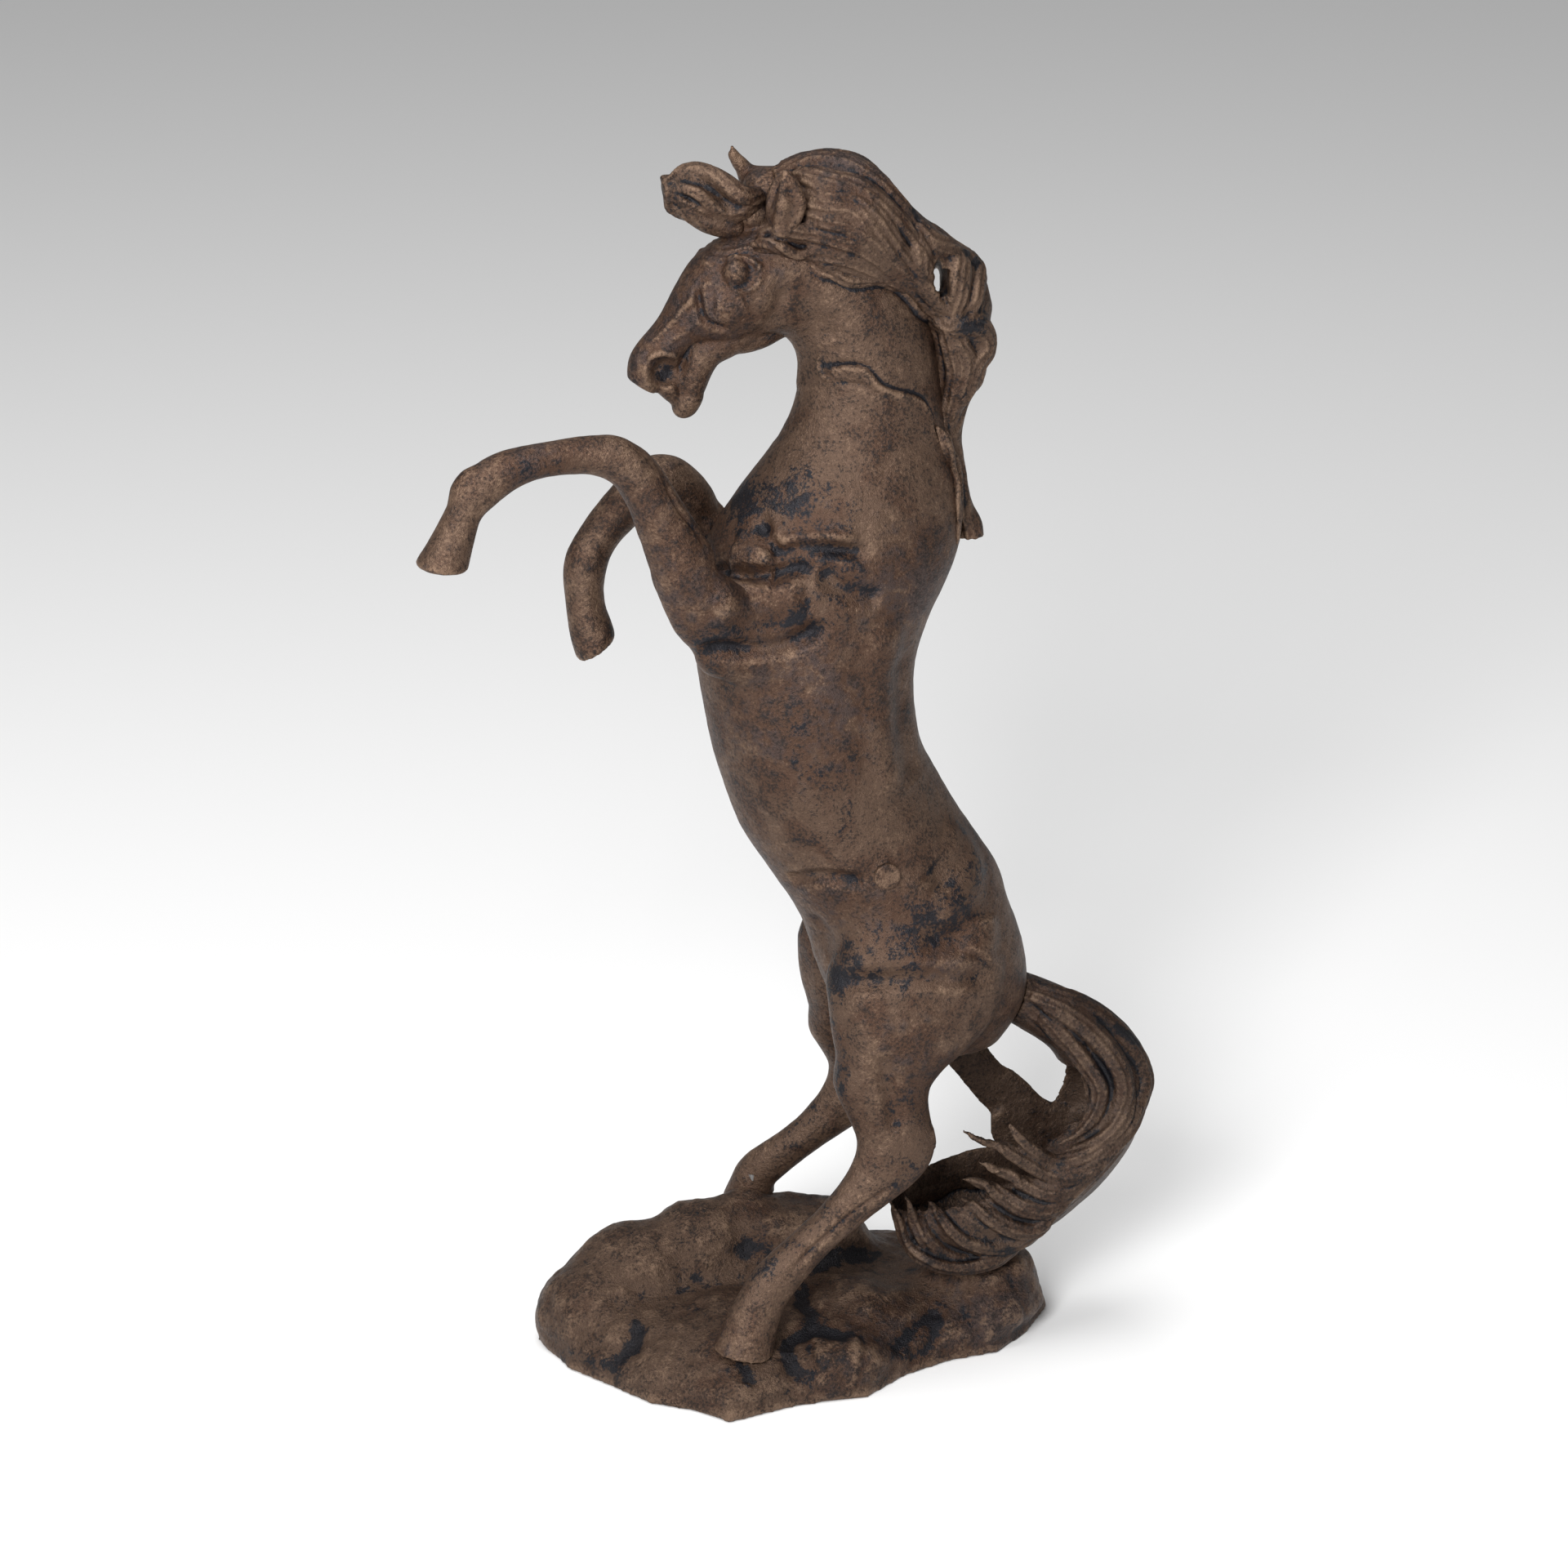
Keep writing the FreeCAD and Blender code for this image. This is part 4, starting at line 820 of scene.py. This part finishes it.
tailLocks = [
        (8.5, [(75, -1.5, 119), (85.5, -6, 116), (97.5, -6, 109), (106.5, -6.5, 100.5),
         (112.5, -7, 90.5), (113.5, -9.5, 82.5), (108.5, -15.5, 74), (100.5, -18.5, 66.5),
         (93, -19, 58), (86, -19, 51), (79.5, -18, 43.5), (74.5, -16.5, 37.5)]),  # t1
        (8, [(75.5, -8, 118), (85, -9.5, 113), (93.5, -11, 106.5), (100, -12.5, 99),
         (104.5, -14.5, 90.5), (104.5, -16, 82), (100, -17.5, 74), (92.5, -17, 68.5),
         (85.5, -16.5, 67.5)]),  # t2
        (7, [(78.5, -9.5, 111.5), (87, -11, 103), (93, -12.5, 95), (97, -14.5, 87),
         (95.5, -15, 79), (90, -16.5, 73), (83.5, -16.5, 70)]),  # t3
        (7, [(107.5, -14, 86.5), (104.5, -17, 77.5), (97.5, -18, 69.5), (89.5, -18, 64.5),
         (83, -16, 63), (75.5, -16.5, 68.5), (70, -16.5, 74), (66.5, -15, 79)]),  # t4
        (7, [(104, -17.5, 69.5), (95, -19, 62.5), (87.5, -19, 59.5), (81, -17, 60),
         (74, -16.5, 64.5), (67, -16.5, 69), (59.5, -16.5, 72.5), (52.5, -15, 76.5)]),  # t5
        (6.5, [(95, -19, 60.5), (87.5, -19, 55), (80.5, -19, 54), (74, -17, 56), (68, -16.5, 60),
         (62.5, -16.5, 63), (57, -16.5, 66.5)]),  # t6
        (7, [(88, -19, 53), (80.5, -19, 49), (72, -18.5, 50), (65.5, -16, 53.5), (58, -16.5, 58.5),
         (52, -16.5, 60.5)]),  # t7
        (6.5, [(83, -18.5, 46), (76, -18, 41.5), (68.5, -18.5, 42.5), (61.5, -18, 46.5),
         (56.5, -15, 50.5), (52, -16.5, 54)]),  # t8
        (6.5, [(78, -17, 40.5), (69, -16.5, 36.5), (60, -17, 36.5), (52, -17, 40), (47, -16, 45),
         (44, -13, 49.5), (41, -16.5, 54)]),  # t9
        (6.5, [(72.5, -16.5, 36.5), (64.5, -14, 32), (55.5, -14, 31.5), (46.5, -14.5, 34.5),
         (40.5, -15.5, 40.5), (37.5, -14, 46.5), (34.5, -16.5, 54.5), (33.5, -13, 55.5)]),  # t10
        (6.5, [(71.5, -14, 33.5), (60, -16.5, 30.5), (48.5, -16.5, 30.5), (39.5, -16.5, 34.5),
         (35, -13, 39), (32.5, -13, 46), (30.5, -13, 52), (28.5, -13, 54.5)]),  # t11
]


def layLocks(form, locks, both, depth=0.42, proud=0.15):
    # Add tapered locks over a form. Returns the pieces and their samples for combing.
    clay = Clay(form)
    tree = KDTree(clay.count)
    for index, point in enumerate(clay.points):
        tree.insert(point, index)
    tree.balance()
    added, samples = [], []
    sides = (False, True) if both else (False,)
    for order, (width, path) in enumerate(locks):
        for flip in sides:
            line = smoothPath(mirrored(path) if flip else path, 1.0)
            found = [tree.find(p)[1] for p in line]
            outward = clay.normals[found].copy()
            for _ in range(12):
                outward[1:-1] = (outward[:-2] + outward[1:-1] + outward[2:]) / 3
            outward = unit(outward)
            t = np.linspace(0, 1, len(line))
            taper = np.clip(np.minimum(0.45 + t * 4, 1) * (1 - t ** 3) ** 0.7, 0.14, 1)
            half = width / 2 * taper
            centre = line + outward * (half * proud)[:, None]
            added.append(sweep("lock", centre, half, half * depth * 2, outward))
            across = unit(np.cross(unit(np.gradient(line, axis=0)), outward))
            samples.append((line, across, np.full(len(line), order * 1.7 + flip)))
    return added, [np.vstack([s[k] if k < 2 else s[k][:, None] for s in samples]) for k in range(3)]


def comb(clay, samples, pitch, depth, reach=6.0):
    # Grooves that run along the nearest lock.
    line, across, phase = samples
    tree = KDTree(len(line))
    for index, point in enumerate(line):
        tree.insert(point, index)
    tree.balance()
    hits = [tree.find(p) for p in clay.points]
    index = np.array([hit[1] for hit in hits])
    away = np.array([hit[2] for hit in hits])
    offset = ((clay.points - line[index]) * across[index]).sum(1)
    wave = np.cos(2 * math.pi * offset / pitch + phase[index, 0] * 2.0)
    ridge = np.sign(wave) * np.abs(wave) ** 0.7
    clay.points += clay.normals * (depth * ridge * smoothstep(reach, reach * 0.4, away))[:, None]
    clay.readNormals()


def dressHair(name, nodeName, locks, both, slot, replaced, holes=(), waxDabs=(), extra=(),
              grabs=(), material=None, **shape):
    form = copyForm(name, nodeName)
    added, samples = layLocks(form, locks, both, **shape)
    form = fuse(form, added + list(extra), hair["voxel"], 2)
    form = keepLargest(form)
    for hole in holes:
        combine(form, hole, "DIFFERENCE")
        bpy.data.objects.remove(hole)
    clay = Clay(form)
    for radius, move, path in grabs:
        clay.grab(radius, move, path)
    clay.readNormals()
    comb(clay, samples, hair["pitch"], hair["comb"])
    clay.points = clay.around(clay.points, 1)
    for radius, amount, path in waxDabs:
        clay.dab(radius, amount, path)
    clay.roughen(0.12, 6, seed=3)
    clay.finish(sharpness=1.2)
    return finishPiece(form, name, material or hairPatina, replaced)


hairPatina = patina("hairPatina", darker(patinaTones, 0.9), 1.15, 0.8)
tailPatina = patina("tailPatina", darker(patinaTones, 0.62), 1.3, 0.8)

# The eye through the blown mane runs along one slanting line.
slotSize = (2.6, 9.0, 60)
slotPlace = (43.1, -8, 352.2)
slotRun = (0.19537, 0.91916, -0.34202)
bpy.ops.object.select_all(action="DESELECT")
bpy.ops.mesh.primitive_cylinder_add(vertices=32, radius=1 * mm, depth=slotSize[2] * mm)
slotTool = bpy.context.object
slotTool.scale = (slotSize[0] / 2, slotSize[1] / 2, 1)
bpy.ops.object.transform_apply(location=False, rotation=False, scale=True)
slotTool.rotation_euler = Vector(slotRun).to_track_quat("Z", "Y").to_euler()
slotTool.location = Vector(slotPlace) * mm
bpy.ops.object.transform_apply(location=True, rotation=True, scale=True)

maneWax = [(4, 1.0, [(36, -9, 373), (40, -9, 368)]), (3, 0.9, [(52, -6, 359), (56, -3, 355)]),
           (4, 1.0, [(50, -9, 337), (56, -7, 337)]), (3, 0.8, [(22, -12, 380), (25, -13, 377)])]
maneGrabs = [(14, (-3.0, 0, 0), [(55, 0, 307), (51, 0, 296), (55, 0, 284)]),
             (12, (-1.6, 0, -1.2), [(34, 0, 377), (48, 0, 364)]),
             (7, (1.0, 0, 0.4), [(60, 0, 350), (60, 0, 342)])]
mane = dressHair("mane", "mane", maneLocks, True, "hair_patina", ["mane"],
                 holes=[slotTool], waxDabs=maneWax, grabs=maneGrabs, depth=0.27, proud=0.03)
say("mane")
forelock = dressHair("forelock", "forelock", forelockLocks, False, "hair_patina", ["forelock"],
                     depth=0.5, proud=0.3)
say("forelock")
tailWax = [(3, 1.0, [(105, -10, 106), (110, -8, 98)]), (3, 1.0, [(98, -13, 98), (104, -15, 88)]),
           (3.5, 1.0, [(80, -18, 52), (86, -19, 47)]), (3.5, 0.9, [(60, -17, 38), (68, -17, 35)])]
farWall = [   # half width, centres of a broad lock on the right side
    (7.5, [(104, 11, 63), (97, 13, 60), (88, 13.5, 64), (80, 13.5, 69), (73, 13.5, 76), (67, 13, 82),
           (61, 12.5, 90), (55, 12, 97), (50, 10, 103)]),
    (7.5, [(102, 11, 48), (92, 13, 47), (82, 13, 54), (76, 13, 62), (71, 12.5, 70)]),
    (7.0, [(90, 10, 42), (76, 11, 49), (62, 9, 52), (50, 7, 50), (38, 4, 44)]),
]
farLocks = []
for half, path in farWall:
    line = smoothPath(path, 1.0)
    t = np.linspace(0, 1, len(line))
    wave = 1 + 0.07 * np.sin(t * 17)
    farLocks.append(sweep("farLock", line, half * wave * (1 - t ** 6 * 0.6), np.full(len(line), 1.5),
                          np.tile((0.0, -1.0, 0.0), (len(line), 1))))
tail = dressHair("tail", "tail", tailLocks, False, "hair_patina", ["tail"], waxDabs=tailWax,
                 extra=farLocks, depth=0.34, material=tailPatina,
                 grabs=[(16, (-1.6, 0, 1.9), [(114, -8, 72), (102, -10, 50), (90, -12, 38)])])
say("tail")

# Rock base

rock = {
    "voxel": 0.95,
    "rounding": 9,
    "blending": 70,
    "unevenness": 0.9,
    "unevenSize": 13,
}
rockLumps = [((17, -8, 14), (20, 15, 8), (0, 0, -20)), ((8, -32, 9), (17, 9, 7), (0, 0, -8)),
             ((66, -8, 11), (14, 11, 6), (0, 0, 20)), ((-24, -26, 12), (12, 10, 7), (0, 0, 0)),
             ((-46, 4, 12), (22, 17, 7), (0, 0, 10)), ((-22, -2, 13), (18, 16, 8), (0, 0, 0)),
             ((-58, 18, 8), (22, 22, 19), (0, 0, 10)), ((-44, 24, 12), (26, 20, 24), (0, 12, 0)),
             ((-24, 26, 17), (24, 18, 24), (0, 14, 0)), ((-12, 29, 22), (15, 13, 22), (0, 20, 0))]
rockStrokes = [
        (6, -1.61, [(3.5, 2, 19), (2, -12.5, 19), (3.5, -24.5, 17.5), (9, -29, 16),
         (15, -30.5, 15)]),
        (5, -1.43, [(-8, -34, 14.5), (-6, -29, 16.5), (-1, -26, 17), (4, -25.5, 17)]),
        (5, -1.36, [(-8, -34, 14.5), (-7, -38.5, 11), (-3.5, -41, 9)]),
        (5.5, -1.61, [(46.5, -13.5, 15), (37.5, -20.5, 12.5), (30.5, -26.5, 10),
         (27.5, -31.5, 8.5)]),
        (5, -1.36, [(44.5, -18, 12.5), (42, -22.5, 9.5), (38, -26.5, 6), (32, -29, 6)]),
        (5.5, -1.36, [(-51.5, -8, 15.5), (-53, -14, 14), (-57, -16, 10.5), (-61.5, -16.5, 7)]),
        (5, -1.18, [(-24, -39.5, 14), (-22, -41, 12.5), (-22.5, -44.5, 10)]),
        (7.5, -1.36, [(-55.5, 35.5, 15), (-46, 26, 19), (-34, 28.5, 19), (-23.5, 21.5, 23.5),
         (-12, 14.5, 28), (-5.5, 13, 28.5)]),
        (6.5, -1.18, [(6.5, 9.5, 22), (13, 11, 23), (22.5, 14, 23), (31.5, 19, 21.5)]),
        (19, 1.86, [(9, 0.5, 19), (17.5, 1.5, 19), (23.5, -10, 19), (28.5, -17, 16)]),
        (15, 1.86, [(-1, -34.5, 14), (7.5, -35, 13.5), (15.5, -35.5, 11.5)]),
        (15, 1.24, [(56, -19, 9.5), (64.5, -15.5, 12), (72.5, -13, 14.5)]),
        (17, 1.55, [(-32.5, -24, 16.5), (-27.5, -20, 18.5), (-21.5, -12, 19)]),
]
rockWax = [
        (7.5, 0.37, [(-27, 41, 19), (-20.5, 34.5, 27), (-34.5, 39.5, 19), (-43, 35, 19),
         (-49, 33.5, 18)]),
        (5.5, 0.37, [(-55.5, -14.5, 12), (-52.5, -14, 14), (-52, -8, 15.5)]),
        (4, 0.37, [(-74, 2.5, 2), (-67.5, -9, 5.5), (-64, -13.5, 6.5)]),
        (5.5, 0.37, [(1.5, -23, 18.5), (7.5, -26, 17), (12.5, -30.5, 15)]),
        (5.5, 0.31, [(-26, -39, 14.5), (-21, -40, 13), (-15.5, -39.5, 12.5)]),
]
stone = copyForm("rock", "rock_base")
stone = fuse(stone, [lump(*row) for row in rockLumps], rock["voxel"], rock["rounding"])
stone = keepLargest(stone)
clay = Clay(stone)
above = smoothstep(1.0, 5.0, clay.points[:, 2])
clay.points += (clay.around(clay.points, rock["blending"]) - clay.points) * above[:, None]
clay.readNormals()
for radius, lift, path in rockStrokes:
    clay.stroke(radius, lift, path)
    if lift < 0:
        clay.dab(radius * 0.7, 0.75, path)
clay.readNormals()
flat = clay.points.copy()
clay.roughen(rock["unevenness"], rock["unevenSize"], seed=5)
clay.roughen(0.13, 3.2, seed=6)
clay.points = flat + (clay.points - flat) * above[:, None]
for radius, amount, path in rockWax:
    clay.dab(radius, amount, path)
clay.points[:, 2] = np.maximum(clay.points[:, 2], 0)    # flat foot
clay.finish(fine=8, broad=40, sharpness=1.0)
rockPatina = patina("rockPatina", darker(patinaTones, 0.85), 1.0, 0.9, 1.8)
finishPiece(stone, "rockBase", rockPatina, ["rock_base"])
say("rock")

# Flank screw

screw = {"centre": (24.2, -28.3, 170.2), "radius": 4.1, "height": 2.4, "dome": 0.9}
bpy.ops.object.select_all(action="DESELECT")
bpy.ops.mesh.primitive_cylinder_add(vertices=64, radius=screw["radius"] * mm,
                                    depth=screw["height"] * mm,
                                    location=Vector(screw["centre"]) * mm,
                                    rotation=(math.radians(90), 0, 0))
screwHead = bpy.context.object
bpy.ops.object.transform_apply(location=True, rotation=True, scale=True)
useModifier(screwHead, "BEVEL", width=0.7 * mm, segments=4, limit_method="ANGLE")
clay = Clay(screwHead)
clay.finish()
screwPatina = patina("screwPatina", rubAndHighlightAmount=1.3)
finishPiece(screwHead, "flankScrew", screwPatina, ["flank_screw"])

# Hidden fixings keep their CAD shapes

steelTones = {"bright": (0.42, 0.42, 0.41), "dull": (0.26, 0.26, 0.27)}
f = Finish("fixingSteel")
place = f.node("ShaderNodeTexCoord").outputs["Object"]
brushed = f.spots(f.node("ShaderNodeMapping", {}, {"Vector": place, "Scale": (1, 1, 0.1)}).outputs[0],
                  900, 3)
steel = f.done(Base_Color=f.blend(brushed, steelTones["bright"], steelTones["dull"]),
               Roughness=0.3 + brushed * 0.2, Metallic=1.0,
               Normal=f.bump(brushed, 0.0001, 0.3))
for name, node in nodes.items():
    if not node.hide_render:
        if not node.material_slots:
            node.data.materials.append(steel)
        for holder in node.material_slots:
            holder.material = steel

# Floor, light and camera

bpy.ops.object.select_all(action="DESELECT")
bpy.ops.mesh.primitive_plane_add(size=14, location=(0, 3, -0.0002))
floor = bpy.context.object
floor.name = "floor"
f = Finish("paleFloor")
floor.data.materials.append(f.done(Base_Color=(0.86, 0.86, 0.86, 1), Roughness=0.9))

studio = {
    "key": {"place": (-0.75, -1.5, 1.1), "size": 0.6, "power": 44},
    "top": {"place": (-0.2, -0.1, 2.0), "size": 1.2, "power": 22},
}
aim = Vector((0, 0, 0.19))
for name, light in studio.items():
    bpy.ops.object.light_add(type="AREA", location=light["place"])
    lamp = bpy.context.object
    lamp.name = name
    lamp.data.size = light["size"]
    lamp.data.energy = light["power"]
    lamp.rotation_euler = (aim - lamp.location).to_track_quat("-Z", "Y").to_euler()
world = bpy.data.worlds.new("softRoom")
world.use_nodes = True
world.node_tree.nodes["Background"].inputs["Color"].default_value = (1, 1, 1, 1)
world.node_tree.nodes["Background"].inputs["Strength"].default_value = 0.31
bpy.context.scene.world = world
bpy.context.scene.view_settings.view_transform = "Standard"

view = {"azimuth": 12, "elevation": 20, "distance": 1.5, "target": (-0.002, 0, 0.192), "lens": 111.66}
turn, tip = math.radians(view["azimuth"]), math.radians(view["elevation"])
back = Vector((-math.sin(turn) * math.cos(tip), -math.cos(turn) * math.cos(tip), math.sin(tip)))
bpy.ops.object.camera_add(location=Vector(view["target"]) + back * view["distance"])
camera = bpy.context.object
camera.rotation_euler = (-back).to_track_quat("-Z", "Y").to_euler()
camera.data.lens = view["lens"]
camera.data.sensor_width = 36
bpy.context.scene.camera = camera

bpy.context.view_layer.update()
say("done")
